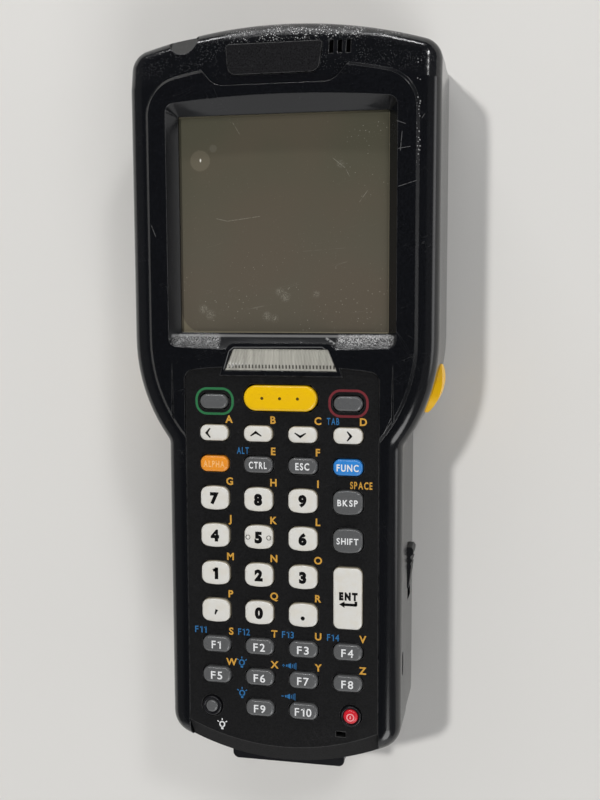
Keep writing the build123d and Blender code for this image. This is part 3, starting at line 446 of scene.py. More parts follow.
INK_COLOURS = {  # colour and how worn it is
    "black": ((0.002, 0.002, 0.0025), 0.0),
    "white": ((0.78, 0.79, 0.80), 0.2),
    "orange": ((0.62, 0.33, 0.055), 0.3),
    "blue": ((0.03, 0.15, 0.35), 0.3),
    "green": ((0.030, 0.165, 0.065), 0.3),
    "red": ((0.17, 0.027, 0.034), 0.3),
    "pale_orange": ((0.95, 0.50, 0.18), 0.5),
    "dark": ((0.09, 0.055, 0.01), 0.2),
    "pink": ((0.85, 0.35, 0.36), 0.2),
}
INK = {name: ink(name, *look) for name, look in INK_COLOURS.items()}
print("inks", list(INK))

# %% [markdown]
# ## The display
# Behind the touch film lies an unlit liquid-crystal cell, which looks olive brown. The film
# over it is scratched, and dust and a finger smudge lie on it, with a painted highlight in the
# smudge. The cell's edge shows as a thin pale line. All of it is a sum of masks in object
# coordinates, so it keeps its place.

# %% The display's finish
VIEW_LEFT, VIEW_RIGHT, VIEW_FOOT, VIEW_HEAD = -27.0, 27.0, 19.65, 74.25
SMUDGES_AND_GLINT = (  # place, radius, softness, squeeze, share and colour
    ((-21.7, 63.3), 2.6, 0.4, 1.0, 0.45, (0.17, 0.15, 0.11)),
    ((-18.2, 66.3), 0.95, 0.4, 1.0, 0.3, (0.17, 0.16, 0.13)),
    # a painted highlight in the middle of the smudge
    ((-21.6, 63.4), 0.42, 0.3, 2.2, 1.0, (0.75, 0.73, 0.66)),
)
GLASS_MARKS = (  # scratches, from one end to the other
    (19.4, 52.2, 20.9, 54.3), (20.8, 54.1, 21.4, 55.0), (-17.6, 48.7, -14.6, 48.0),
    (-14.6, 48.0, -6.1, 49.1), (12.6, 63.2, 15.7, 60.7), (-26.5, 74.3, -18.9, 74.2),
    (-13.0, 72.6, -11.1, 69.5), (16.0, 60.3, 16.7, 58.9))
FAINT_MARK = (0.4, 39.9, 21.4, 41.3)
SMEARS = (((-1.0, 30.0), 0.9), ((0.4, 28.8), 1.1), ((-21.3, 25.6), 1.0), ((-19.4, 24.2), 1.1),
          ((-4.4, 23.8), 1.0), ((-2.4, 23.3), 0.8), ((14.6, 61.6), 0.7), ((8.4, 29.4), 0.7))
SMEAR_SOFTNESS = 1.4


def cell_edge(paint):
    """The thin pale line round the cell, and the corner that it cuts off."""
    x, y = paint.axis("X"), paint.axis("Y")
    side = x.near(VIEW_RIGHT, 0.25, 0.25)
    foot = y.near(VIEW_FOOT, 0.22, 0.2)
    head = y.near(VIEW_HEAD, 0.3, 0.3) * x.below(20, 20)
    corner = paint.spot((VIEW_LEFT + 6, VIEW_FOOT + 6), 6.2, 0.3)
    in_corner = x.below(VIEW_LEFT + 5, 0.3) * y.below(VIEW_FOOT + 5, 0.3)
    return most([side * 0.5, foot * 0.6, head * 0.5, (1 - corner) * in_corner * 0.3])


def display_finish():
    paint = Paint("display_film", (0.10, 0.088, 0.067), 0.16, Coat_Weight=0.3, Coat_Roughness=0.08)
    x, y = paint.axis("X"), paint.axis("Y")
    colour = paint.blend(y.below(52, 46), (0.084, 0.080, 0.056), (0.106, 0.095, 0.072))
    cloud = paint.noise(24, 1.0).above(0.5, 0.3)
    colour = paint.blend(cloud * 0.35, colour, (0.115, 0.088, 0.066))
    for *round_mark, share, tint in SMUDGES_AND_GLINT:
        colour = paint.blend(paint.spot(*round_mark) * share, colour, tint)
    colour = paint.blend(cell_edge(paint), colour, (0.30, 0.27, 0.18))
    near_rim = most([x.above(17, 12), y.below(36, 14)]) * 0.7 + 0.3
    patch = paint.noise(9).above(0.46, 0.2) * near_rim
    dust = most([paint.dots(1.1, 0.09), paint.dots(0.5, 0.10) * 0.5]) * patch
    smear = paint.noise(0.22, 3.0, roughness=0.7).above(0.55, 0.2)
    smear = smear * most([paint.spot(place, size, SMEAR_SOFTNESS) for place, size in SMEARS])
    marks = most([paint.stroke(*ends, 0.14) for ends in GLASS_MARKS])
    marks = marks * paint.noise(0.6).above(0.42, 0.3)
    faint = paint.stroke(*FAINT_MARK, 0.15) * paint.noise(2.0).above(0.5, 0.2)
    hair = paint.scratches(12, 3.0, 30, 0.0012) * paint.noise(7).above(0.62, 0.1)
    pale = most([dust * 0.55, smear * 0.4, marks * 0.30, faint * 0.08, hair * 0.15])
    colour = paint.blend(pale, colour, (0.42, 0.40, 0.34))
    paint.set(Base_Color=colour, Roughness=0.16 + pale * 0.4)
    paint.set(Normal=paint.bump(paint.noise(3, 1.0), 0.002))
    return paint.material


DISPLAY = display_finish()
print("display finished")


# %% [markdown]
# ## Finishes of the parts that the construction model shapes
# Their shapes are right as they are, so they only get a material in their own slots.


# %% Finish the construction model's parts
def metal(name, colour, roughness):
    paint = Paint(name, colour, roughness, Metallic=1.0)
    paint.set(Roughness=roughness - 0.08 + paint.noise(1.5, 3.0) * 0.16)
    paint.set(Normal=paint.bump(paint.noise(0.2), 0.004))
    return paint.material


def soft(name, colour, roughness, grain):
    paint = Paint(name, colour, roughness)
    mottle = paint.noise(0.8, 3.0)
    paint.set(Base_Color=paint.blend(mottle, toned(colour, 0.8), colour))
    paint.set(Normal=paint.bump(mottle, grain))
    return paint.material


def window_finish():
    paint = Paint("scan_window_red", (0.05, 0.002, 0.003), 0.08, Coat_Weight=0.5, Coat_Roughness=0.03)
    paint.set(Roughness=0.08 + paint.noise(4) * 0.08)
    return paint.material


board_mask = soft("board_mask", (0.02, 0.12, 0.05), 0.35, 0.01)
FINISH = {
    "keypad_frame": PANEL,
    "badge_plate": GLOSS,
    "touch_panel": DISPLAY,
    "scan_window": window_finish(),
    "case_screws": metal("screw_zinc", (0.16, 0.16, 0.17), 0.35),
    "display_module": metal("tray_steel", (0.55, 0.55, 0.56), 0.3),
    "scan_engine": metal("engine_alloy", (0.30, 0.30, 0.31), 0.45),
    "battery_contacts": metal("contact_gold", (0.80, 0.58, 0.25), 0.25),
    "display_gasket": soft("gasket_foam", (0.02, 0.02, 0.02), 0.9, 0.05),
    "keypad_mat": soft("mat_silicone", (0.25, 0.25, 0.26), 0.6, 0.02),
    **dict.fromkeys(("front_housing", "rear_housing", "battery_pack"), HOUSING),
    **dict.fromkeys(("latch_left", "latch_right", "dock_connector", "speaker"), TRIM),
    **dict.fromkeys(("trigger_left", "trigger_right"), TRIGGER),
    **dict.fromkeys(("keypad_board", "main_board"), board_mask),
}
for name, material in FINISH.items():
    for slot in nodes[name].material_slots:
        slot.material = material
print("finished", len(FINISH), "parts")

# %% [markdown]
# ## Modelling helpers
# Every new piece starts as a primitive at its size and place and is shaped in edit mode. These
# helpers do the repeated moves: deselect everything, add, select by place, apply.


# %% Modelling helpers
def set_mode(mode):
    bpy.ops.object.mode_set(mode=mode)


def clear_selection():
    if bpy.context.object and bpy.context.object.mode != "OBJECT":
        set_mode("OBJECT")
    bpy.ops.object.select_all(action="DESELECT")


def added(add, **settings):
    """Calls an operator that adds an object, and gives that object."""
    clear_selection()
    add(**settings)
    return bpy.context.object


def apply_place(piece):
    clear_selection()
    piece.select_set(True)
    bpy.context.view_layer.objects.active = piece
    bpy.ops.object.transform_apply(location=True, rotation=True, scale=True)
    return piece


def shaped(add, scale=(1, 1, 1), **settings):
    """Adds a primitive and applies its scale and place."""
    piece = added(add, **settings)
    piece.scale = scale
    return apply_place(piece)


def move(*offset):
    bpy.ops.transform.translate(value=offset)


def select_whole():
    bpy.ops.mesh.select_all(action="SELECT")


def smooth(degrees=50):
    bpy.ops.object.shade_smooth_by_angle(angle=math.radians(degrees))


def select_by(piece, kind, test):
    """In edit mode, selects the verts, edges or faces whose middle passes the test."""
    bpy.ops.mesh.select_all(action="DESELECT")
    bpy.ops.mesh.select_mode(type=kind)
    set_mode("OBJECT")
    mesh = piece.data
    for vert in mesh.vertices:
        vert.select = kind == "VERT" and test(vert.co)
    if kind == "EDGE":
        for edge in mesh.edges:
            start, end = (mesh.vertices[index].co for index in edge.vertices)
            edge.select = test((start + end) / 2, start - end)
    if kind == "FACE":
        for face in mesh.polygons:
            face.select = test(face.center, face.normal)
    set_mode("EDIT")


def join(pieces, name):
    clear_selection()
    for piece in pieces:
        piece.select_set(True)
    bpy.context.view_layer.objects.active = pieces[0]
    if len(pieces) > 1:
        bpy.ops.object.join()
    pieces[0].name = name
    pieces[0].data.name = name
    return pieces[0]


def paint_all(piece, material):
    piece.data.materials.clear()
    piece.data.materials.append(material)
    return piece


print("helpers ready")

# %% [markdown]
# ## The keys
# A cap is an upright prism with rounded corners, a soft round-over and a gently crowned top.
# Bevelling a cube would leave slivers on the pill-shaped keys. So each form starts as a short
# cylinder whose four quarters are pulled apart: the corners stay exact arcs, and the same moves
# give digits, pills and round buttons. Digits get a slight barrel, because the mould's long
# walls are bowed. Keys of one size share a form, which is copied to each place.

# %% Key forms
BARREL = {f"key_{n}" for n in (*range(10), "comma", "point", "bksp", "shift")}
FULL_ROUND = {"key_scan", "key_light", "key_power", "key_soft_left", "key_soft_right"}
CAP_FOOT = 2.2 * MM
CAP_GAP = 0.05 * MM
BARREL_BOW = 0.20 * MM
BOW_BANDS = ((0.0, 0.12, 1.0), (0.12, 0.7, 0.7))  # shares of the half wall, and of the bow there
CORNER_STEPS = 32
CROWN_STEPS = ((0.40, 0.05), (0.40, 0.025))  # inset and lift of the top, in mm


def key_form(name, height):
    """Corner radius and round-over of a cap."""
    if name in FULL_ROUND:
        return height / 2, 0.75 * MM
    if name in BARREL:
        return 1.95 * MM, 0.55 * MM
    if name == "key_enter":
        return 1.7 * MM, 0.6 * MM
    return 0.43 * height, 0.75 * MM


def pull_quarters(piece, reach_x, reach_y):
    """Moves the four quarters of a prism apart, which leaves straight walls between them."""
    for side_x in (-1, 1):
        for side_y in (-1, 1):
            select_by(piece, "VERT", lambda co: co.x * side_x > 0 and co.y * side_y > 0)
            move(side_x * reach_x, side_y * reach_y, 0)


def bow_walls(piece, half_x, half_y):
    """Cuts the long walls into four and swells them, most in the middle."""
    def long_edge(middle, along):
        return abs(middle.x) < half_x / 2 and abs(along.x) > half_x and abs(along.z) < 1e-6

    select_by(piece, "EDGE", long_edge)
    bpy.ops.mesh.subdivide(number_cuts=3)
    for side in (-1, 1):
        for near, far, share in BOW_BANDS:
            select_by(piece, "VERT", lambda co: (
                co.y * side > half_y * 0.98 and near * half_x <= abs(co.x) < far * half_x))
            move(0, side * share * BARREL_BOW, 0)


def model_cap(width, height, corner, soften, barrel):
    """A cap centred on the origin, with its top at a height of 0."""
    cap = shaped(bpy.ops.mesh.primitive_cylinder_add, vertices=CORNER_STEPS, radius=corner,
                 depth=CAP_FOOT, location=(0, 0, -CAP_FOOT / 2),
                 rotation=(0, 0, math.pi / CORNER_STEPS))
    set_mode("EDIT")
    pull_quarters(cap, width / 2 - corner, height / 2 - corner)
    if barrel:
        bow_walls(cap, width / 2 - corner, height / 2 - 0.05 * MM)
    select_by(cap, "FACE", lambda centre, normal: normal.z > 0.9)
    bpy.ops.mesh.region_to_loop()
    bpy.ops.mesh.bevel(offset=soften, segments=5, affect="EDGES", profile=0.5)
    select_by(cap, "FACE", lambda centre, normal: normal.z > 0.999)
    for inset, lift in CROWN_STEPS:
        bpy.ops.mesh.inset(thickness=inset * MM)
        move(0, 0, lift * MM)
    total_lift = sum(lift for _, lift in CROWN_STEPS) * MM
    select_by(cap, "VERT", lambda co: co.z > 0.1 * MM - CAP_FOOT)
    move(0, 0, -total_lift)
    set_mode("OBJECT")
    smooth()
    return cap


cap_forms = {}


def make_cap(name):
    """A copy of the form of this key's size, at its place."""
    x, y, width, height, top = cap_box(name)
    corner, soften = key_form(name, height)
    barrel = name in BARREL
    size = (round(width / MM, 2), round(height / MM, 2), round(corner / MM, 2), barrel)
    if size not in cap_forms:
        shrunk = (width - CAP_GAP, height - CAP_GAP, corner - CAP_GAP / 2)
        cap_forms[size] = model_cap(*shrunk, soften, barrel)
        cap_forms[size].name = "form"
    cap = bpy.data.objects.new(name, cap_forms[size].data.copy())
    bpy.context.scene.collection.objects.link(cap)
    cap.location = (x, y, top)
    return apply_place(cap)


print("cap of a digit:", [round(v / MM, 2) for v in cap_box("key_7")])

# %% [markdown]
# ## Strokes, rings and dots
# Signs are drawn from four printed shapes: a bar that may thin out, an open arrow head, a ring
# and a filled disc. Each is laid a hair above its cap and joined to it, so that it travels with
# the key.


# %% Strokes, rings and dots
INK_LIFT = 0.02 * MM
CHEVRON_DEPTH, CHEVRON_STROKE, CHEVRON_TAPER = 0.85 * MM, 0.68 * MM, 0.4


def bar(start, end, width, z, taper=1.0):
    """A straight printed stroke, whose far end can be narrower."""
    along = Vector(end) - Vector(start)
    stroke = shaped(bpy.ops.mesh.primitive_plane_add, (along.length + width * 0.5, width, 1),
                    size=1, location=(0, 0, 0))
    if taper < 1:
        set_mode("EDIT")
        select_by(stroke, "VERT", lambda co: co.x > 0)
        bpy.ops.transform.resize(value=(1, taper, 1), center_override=(0, 0, 0))
        set_mode("OBJECT")
    middle = (Vector(end) + Vector(start)) / 2
    stroke.location = (middle.x, middle.y, z)
    stroke.rotation_euler.z = math.atan2(along.y, along.x)
    return apply_place(stroke)


def bars(table, x, y, z):
    """Bars round a middle. A row holds both ends, width and taper, in mm."""
    return [bar((x + x1 * MM, y + y1 * MM), (x + x2 * MM, y + y2 * MM), width * MM, z, taper)
            for x1, y1, x2, y2, width, taper in table]


def chevron(x, y, z, turn, spread):
    """An open arrow head that points along turn, in degrees. Its arms thin out."""
    along = Vector((math.cos(math.radians(turn)), math.sin(math.radians(turn))))
    across = Vector((-along.y, along.x))
    tip = Vector((x, y)) + along * CHEVRON_DEPTH / 2
    tail = Vector((x, y)) - along * CHEVRON_DEPTH / 2
    return [bar(tip, tail + across * side * spread / 2, CHEVRON_STROKE, z, CHEVRON_TAPER)
            for side in (-1, 1)]


def band(x, y, z, outline):
    """A printed ring. Its outline is a width, height, corner radius and line, in mm."""
    width, height, corner, line = (measure * MM for measure in outline)
    ring = shaped(bpy.ops.mesh.primitive_plane_add, (width, height, 1), size=1, location=(x, y, z))
    set_mode("EDIT")
    select_whole()
    bpy.ops.mesh.bevel(offset=corner, segments=10, affect="VERTICES")
    select_whole()
    bpy.ops.mesh.inset(thickness=line)
    bpy.ops.mesh.delete(type="FACE")
    set_mode("OBJECT")
    return ring


def disc(x, y, z, radius, corners=20, turn=90):
    """A filled disc, or with three corners an arrow head that points along turn, in degrees."""
    return shaped(bpy.ops.mesh.primitive_circle_add, vertices=corners, radius=radius,
                  fill_type="NGON", location=(x, y, z), rotation=(0, 0, math.radians(turn - 90)))


def local_box(piece):
    xs, ys, _ = zip(*(v.co for v in piece.data.vertices))
    return Vector((min(xs), min(ys))), Vector((max(xs), max(ys)))


print("printed shapes ready")

# %% [markdown]
# ## Lettering
# Printed words could be pictures laid on the faces, but letters made from the font's own
# curves stay crisp at any distance. Every letter is its own small mesh, so the gaps between
# letters are set here and each stroke can be made bolder. Two figures are drawn in other ways:
# the 1 is two bars, and the 9 is a turned 6.

# %% Lettering
PLAIN_STROKE = 0.105  # the font's own stroke, as a share of its size
WORD_GAP = 0.24  # space between letters, as a share of a capital's height
FLAG_END = (-0.30, 0.80)  # where the flag of the 1 ends, in the same share


def glyph(letter, weight):
    """One letter of the font as a mesh, with its foot on the line."""
    piece = added(bpy.ops.object.text_add, location=(0, 0, 0))
    piece.data.body = letter
    piece.data.offset = weight
    piece.data.resolution_u = 4
    bpy.ops.object.convert(target="MESH")
    return piece


probe = glyph("H", 0.0)
CAPITAL = local_box(probe)[1].y
bpy.data.objects.remove(probe)


def figure_one(weight):
    """The figure 1: an upright stem with a slanting flag, as tall as a capital."""
    stroke = PLAIN_STROKE + 2 * weight
    low, high = stroke * 0.25 - weight, CAPITAL + weight - stroke * 0.25
    stem = bar((0, low), (0, high), stroke, 0)
    flag = bar((0, high - stroke * 0.2), Vector(FLAG_END) * CAPITAL, stroke * 0.8, 0)
    return join([stem, flag], "one")


def figure_nine(weight):
    """The figure 9 is a 6 turned half round about its middle."""
    piece = glyph("6", weight)
    low, high = local_box(piece)
    piece.rotation_euler.z = math.pi
    piece.location = (low.x + high.x, low.y + high.y, 0)
    return apply_place(piece)


FIGURES = {"1": figure_one, "9": figure_nine}


def text_mesh(words, x, y, z, height, width=None, weight=0.02):
    """Words centred on x and y, whose capitals are height tall, set to a width if given."""
    letters, cursor = [], 0.0
    for letter in words:
        piece = FIGURES[letter](weight) if letter in FIGURES else glyph(letter, weight)
        low, high = local_box(piece)
        piece.location.x = cursor - low.x
        cursor += high.x - low.x + WORD_GAP * CAPITAL
        letters.append(apply_place(piece))
    piece = join(letters, words)
    length = cursor - WORD_GAP * CAPITAL
    scale_y = height / (CAPITAL + 2 * weight)
    scale_x = width / length if width else scale_y
    piece.scale = (scale_x, scale_y, 1)
    piece.location = (x - length / 2 * scale_x, y - height / 2 + weight * scale_y, z)
    return apply_place(piece)


print("a capital is", round(CAPITAL, 3), "of the font's size")

# %% [markdown]
# ## Legends
# Each key carries a figure, a word or a sign. The words keep the width and height they have on
# the keypad, because a font set only by its height would run off the narrow caps. Chevrons are
# two tapered bars, which print with a sharp tip and thin tails.

# %% Legends of the keys
BOLD, MEDIUM, LIGHT = 0.072, 0.026, 0.014
DIGIT_HEIGHT = 3.1 * MM
WORDS = {  # the words, and how wide and tall they are, in mm
    "key_ctrl": ("CTRL", 4.7, 1.8), "key_esc": ("ESC", 3.6, 1.85), "key_func": ("FUNC", 5.6, 1.8),
    "key_alpha": ("ALPHA", 5.6, 1.75), "key_bksp": ("BKSP", 5.2, 1.65),
    "key_shift": ("SHIFT", 5.6, 1.65), "key_f1": ("F1", 2.5, 2.1), "key_f10": ("F10", 4.4, 2.15),
    **{f"key_f{n}": (f"F{n}", 3.1, 2.1) for n in range(2, 10)},
}
ARROWS = {  # where it points, its shift along x and its spread, in mm
    "key_left": (180, -1.45, 2.15), "key_up": (90, -0.45, 2.6),
    "key_down": (-90, -0.5, 2.6), "key_right": (0, 0.4, 2.15),
}
RETURN_ARROW = ((-1.0, -1.4, 2.2, -1.4, 0.70, 1), (2.2, -1.4, 2.2, -0.65, 0.70, 1))
COMMA = ((0.2, 0.1, -0.15, -0.85, 0.75, 0.45),)
POWER_BAR = ((0, -0.32, 0, 0.32, 0.34, 1),)
POWER_RING = (2.1, 2.1, 1.03, 0.32)
# A painted shade ring round the foot of each finger dot.
FINGER_DOT_SHADE_RING = (1.24, 1.24, 0.61, 0.13)
FINGER_DOT_SHIFT = 2.75 * MM
SCAN_DOT_STEP = 4.6 * MM
WHITE_INK = {"key_grey", "key_blue"}
SPECIAL_INK = {"key_alpha": "pale_orange", "key_scan": "dark", "key_power": "pink"}


def enter_sign(x, y, z):
    """The word above a return arrow, whose head is filled."""
    word = text_mesh("ENT", x + 0.25 * MM, y + 0.75 * MM, z, 2.15 * MM, 4.75 * MM, 0.08)
    head = disc(x - 1.2 * MM, y - 1.4 * MM, z, 0.95 * MM, 3, 180)
    return [word, *bars(RETURN_ARROW, x, y, z), head]


DRAWN_SIGNS = {
    "key_enter": enter_sign,
    "key_power": lambda x, y, z: [band(x, y, z, POWER_RING), *bars(POWER_BAR, x, y, z)],
    "key_point": lambda x, y, z: [disc(x, y - 0.7 * MM, z, 0.54 * MM)],
    "key_comma": lambda x, y, z: bars(COMMA, x, y, z),
    "key_scan": lambda x, y, z: [disc(x + step * SCAN_DOT_STEP, y, z, 0.4 * MM)
                                 for step in (-1, 0, 1)],
}


def legend_strokes(name, x, y, z):
    """The printed pieces of a key, with painted shade rings round the finger dots; some keys are
    bare.
    """
    digit = name.removeprefix("key_")
    if digit.isdigit():
        dots = [x - FINGER_DOT_SHIFT, x + FINGER_DOT_SHIFT] if digit == "5" else []
        figure = text_mesh(digit, x, y, z, DIGIT_HEIGHT, weight=BOLD)
        # Painted shade: a dark ring round the foot of each finger dot.
        return [figure, *(band(dot, y, z, FINGER_DOT_SHADE_RING) for dot in dots)]
    if name in WORDS:
        words, width, height = WORDS[name]
        weight = LIGHT if words[1:].isdigit() else MEDIUM
        return [text_mesh(words, x, y, z, height * MM, width * MM, weight)]
    if name in ARROWS:
        turn, shift, spread = ARROWS[name]
        return chevron(x + shift * MM, y, z, turn, spread * MM)
    return DRAWN_SIGNS[name](x, y, z) if name in DRAWN_SIGNS else []


print("legends for", len(WORDS) + 10, "keys with words and digits")

# %% [markdown]
# ## Finger dots and collars
# The middle key of the number block has two small raised dots, so that a thumb finds it. They
# are flattened spheres sunk into its top. The two round keys stand in black collars, which are
# rings with a rounded rim.

# %% Finger dots and collars
FINGER_DOT = 0.5 * MM
FINGER_DOT_SINK = 0.05 * MM
COLLARS = {"key_light": (1.72 * MM, 2.58 * MM), "key_power": (2.02 * MM, 2.68 * MM)}
COLLAR_TOP = PANEL_Z + 0.75 * MM
COLLAR_DEPTH = 1.3 * MM


def finger_dots(x, y, z):
    dots = []
    for side in (-1, 1):
        dots.append(shaped(bpy.ops.mesh.primitive_uv_sphere_add, (1, 1, 0.9), segments=16,
                           ring_count=8, radius=FINGER_DOT,
                           location=(x + side * FINGER_DOT_SHIFT, y, z - FINGER_DOT_SINK)))
        bpy.ops.object.shade_smooth()
    return dots


def collar(name):
    """A ring round a key, from the floor of its well up to a rounded rim."""
    x, y = cap_box(name)[:2]
    inner, outer = COLLARS[name]
    thick = (outer - inner) / 2
    ring = shaped(bpy.ops.mesh.primitive_torus_add, major_segments=40, minor_segments=12,
                  location=(x, y, 0), major_radius=inner + thick, minor_radius=thick)
    set_mode("EDIT")
    select_by(ring, "VERT", lambda co: co.z < -0.1 * thick)
    bpy.ops.transform.resize(value=(1, 1, 0.01), center_override=(x, y, 0))
    move(0, 0, -COLLAR_DEPTH)
    select_whole()
    move(0, 0, COLLAR_TOP - thick)
    set_mode("OBJECT")
    smooth()
    return ring


for name in COLLARS:
    ring = paint_all(collar(name), TRIM)
    ring.name = name.replace("key", "collar")
    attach(ring, "root")
print("collars", list(COLLARS))

# %% [markdown]
# ## One piece for each key
# A cap, its dots and its legend are joined into one piece that takes the place of the key in
# the construction model. It then moves with the key when the key is pressed, and so does the ink.

# %% Make every key
LIGHT_KEY_SHARE = 3.35 / 3.9  # the cap of the light key is narrower than its place
record_slots = {entry["node"]: entry["material_slot"] for entry in frame["record"]["subparts"]}
for name in KEY_NAMES:
    slot_name = record_slots[name]
    cap = make_cap(name)
    x, y, _, _, top = cap_box(name)
    if name == "key_5":
        cap = join([cap, *finger_dots(x, y, top)], name)
    if name == "key_light":
        cap.scale = (LIGHT_KEY_SHARE, LIGHT_KEY_SHARE, 1)
        cap.location = (x * (1 - LIGHT_KEY_SHARE), y * (1 - LIGHT_KEY_SHARE), 0)
        apply_place(cap)
    paint_all(cap, KEY_PAINT[slot_name])
    strokes = legend_strokes(name, x, y, top + INK_LIFT)
    colour = SPECIAL_INK.get(name, "white" if slot_name in WHITE_INK else "black")
    for stroke in strokes:
        paint_all(stroke, INK[colour])
    piece = join([cap, *strokes], f"{name}_cap")
    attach(piece, name)
    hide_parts(name)
for form in cap_forms.values():
    bpy.data.objects.remove(form)
print("made", len(KEY_NAMES), "caps from", len(cap_forms), "forms")

# %% [markdown]
# ## Printing on the panel
# The second and third meanings of the keys are printed on the panel: letters in orange at the
# upper right of each key, and blue words at its upper left.

# %% Letters and words on the panel
PRINT_Z = PANEL_Z + INK_LIFT
LETTER_X, LETTER_Y = 3.8 * MM, 1.42 * MM
LETTER_HEIGHT, LETTER_WEIGHT = 1.95 * MM, 0.030
BLUE_HEIGHT, BLUE_WIDTH = 1.75 * MM, 3.15 * MM
LETTER_KEYS = "left up down right ctrl esc 7 8 9 4 5 6 1 2 3 comma 0 point f1 f2 f3 f4 f5 f6 f7 f8"
BLUE_WORDS = {  # the word and how far left of its key's middle it stands, in mm
    "right": ("TAB", -3.9), "ctrl": ("ALT", -4.2), "f1": ("F11", -4.5), "f2": ("F12", -4.35),
    "f3": ("F13", -4.2), "f4": ("F14", -3.9),
}


def above_key(short, shift):
    """A point on the panel just above a key, shifted sideways."""
    x, y, _, height, _ = cap_box(f"key_{short}")
    return x + shift, y + height / 2 + LETTER_Y, PRINT_Z


orange = [text_mesh(letter, *above_key(short, LETTER_X), LETTER_HEIGHT, weight=LETTER_WEIGHT)
          for short, letter in zip(LETTER_KEYS.split(), ascii_uppercase)]
orange.append(text_mesh("SPACE", *above_key("bksp", 3.3 * MM), height=1.87 * MM,
                        width=5.65 * MM, weight=MEDIUM))
blue = [text_mesh(words, *above_key(short, shift * MM), BLUE_HEIGHT, BLUE_WIDTH, LIGHT)
        for short, (words, shift) in BLUE_WORDS.items()]
print(len(orange), "orange and", len(blue), "blue words")

# %% [markdown]
# ## Signs on the panel
# A lamp is a ring on a short base with three rays, and a loudspeaker is a tapered bar with
# three waves. A plus or a minus stands before it.

# %% Lamp and loudspeaker signs
LAMP_RING = (1.6, 1.7, 0.78, 0.34)
LAMP_BASE = (0, -0.8, 0, -1.25, 0.62, 1)
RAY_TURNS, RAY_START, RAY_END, RAY_WIDTH = (35, 90, 145), 1.15, 1.55, 0.26
WAVES = ((0.9, 0.4), (1.35, 0.65), (1.8, 0.85))  # where each stands and how far it reaches
HORN = (  # the minus, the body, its tapered mouth and the waves
    (-1.75, 0, -1.25, 0, 0.24, 1), (-0.7, 0, -0.4, 0, 0.6, 1), (0.15, 0, -0.05, 0, 1.5, 0.35),
    *((place, -reach, place, reach, 0.2, 1) for place, reach in WAVES))
PLUS_UPRIGHT = (-1.5, -0.3, -1.5, 0.3, 0.24, 1)


def lamp_sign(x, y, z):
    """A lamp: a round glass, its base and three rays."""
    table = [LAMP_BASE]
    for turn in RAY_TURNS:
        ray = Vector((math.cos(math.radians(turn)), math.sin(math.radians(turn))))
        table.append((*ray * RAY_START, *ray * RAY_END, RAY_WIDTH, 1))
    return [band(x, y, z, LAMP_RING), *bars(table, x, y, z)]


for short in ("f6", "f9"):
    blue += lamp_sign(*above_key(short, -5.0 * MM))
blue += bars((*HORN, PLUS_UPRIGHT), *above_key("f7", -3.9 * MM))
blue += bars(HORN, *above_key("f10", -4.2 * MM))
x, y = cap_box("key_light")[:2]
white = lamp_sign(x + 2.55 * MM, y - 5.1 * MM, PRINT_Z)
print("signs added")

# %% [markdown]
# ## Coloured rings
# The two soft keys stand inside printed rings. Everything of one colour is joined, so the
# panel's print is five pieces, one for each ink that is pulled through the screen.

# %% Rings round the soft keys
SOFT_KEY_RING = (10.2, 7.1, 3.1, 0.62)
prints = {"orange": orange, "blue": blue, "white": white}
for short, colour in (("soft_left", "green"), ("soft_right", "red")):
    x, y = cap_box(f"key_{short}")[:2]
    prints[colour] = [band(x, y, PRINT_Z, SOFT_KEY_RING)]
for colour, strokes in prints.items():
    for stroke in strokes:
        paint_all(stroke, INK[colour])
    print_piece = join(strokes, f"print_{colour}")
    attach(print_piece, "root")
print("prints on the panel", list(prints))

# %% [markdown]
# ## The ribbed light guide
# The indicator above the keypad is a clear strip whose face is moulded into fine upright ribs,
# so that the lamps behind it spread. A grid gives one column of faces to a rib flank; lifting
# every other line of points makes the ribs, and scaling the upper edge gives the flare.

# %% The light guide
lens_low, lens_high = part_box("led_lens")
LENS_WIDTH = lens_high.x - lens_low.x
LENS_TOP_SHARE = 24.4 / 28.8
LENS_THICK = 1.2 * MM
RIBS = 33
RIB_HEIGHT = 0.22 * MM
RIB_START, RIB_END = lens_low.y + 0.8 * MM, lens_high.y - 0.4 * MM


def light_guide():
    centre = (lens_low + lens_high) / 2
    lens = shaped(bpy.ops.mesh.primitive_grid_add, (LENS_WIDTH, lens_high.y - lens_low.y, 1),
                  x_subdivisions=2 * RIBS, y_subdivisions=8, size=1,
                  location=(centre.x, centre.y, lens_high.z - RIB_HEIGHT))
    step = LENS_WIDTH / (2 * RIBS)
    set_mode("EDIT")
    select_by(lens, "VERT", lambda co: (
        round((co.x - lens_low.x) / step) % 2 == 1 and RIB_START < co.y < RIB_END))
    move(0, 0, RIB_HEIGHT)
    rows = sorted({round(v.co.y, 6) for v in lens.data.vertices})
    for row in rows:
        select_by(lens, "VERT", lambda co: abs(co.y - row) < 1e-5)
        along = (row - rows[0]) / (rows[-1] - rows[0])
        bpy.ops.transform.resize(value=(1 + (LENS_TOP_SHARE - 1) * along, 1, 1),
                                 center_override=(centre.x, row, lens_high.z))
    select_whole()
    bpy.ops.mesh.extrude_region_move(TRANSFORM_OT_translate={"value": (0, 0, -LENS_THICK)})
    select_whole()
    bpy.ops.mesh.normals_make_consistent(inside=False)
    set_mode("OBJECT")
    smooth(20)
    return lens


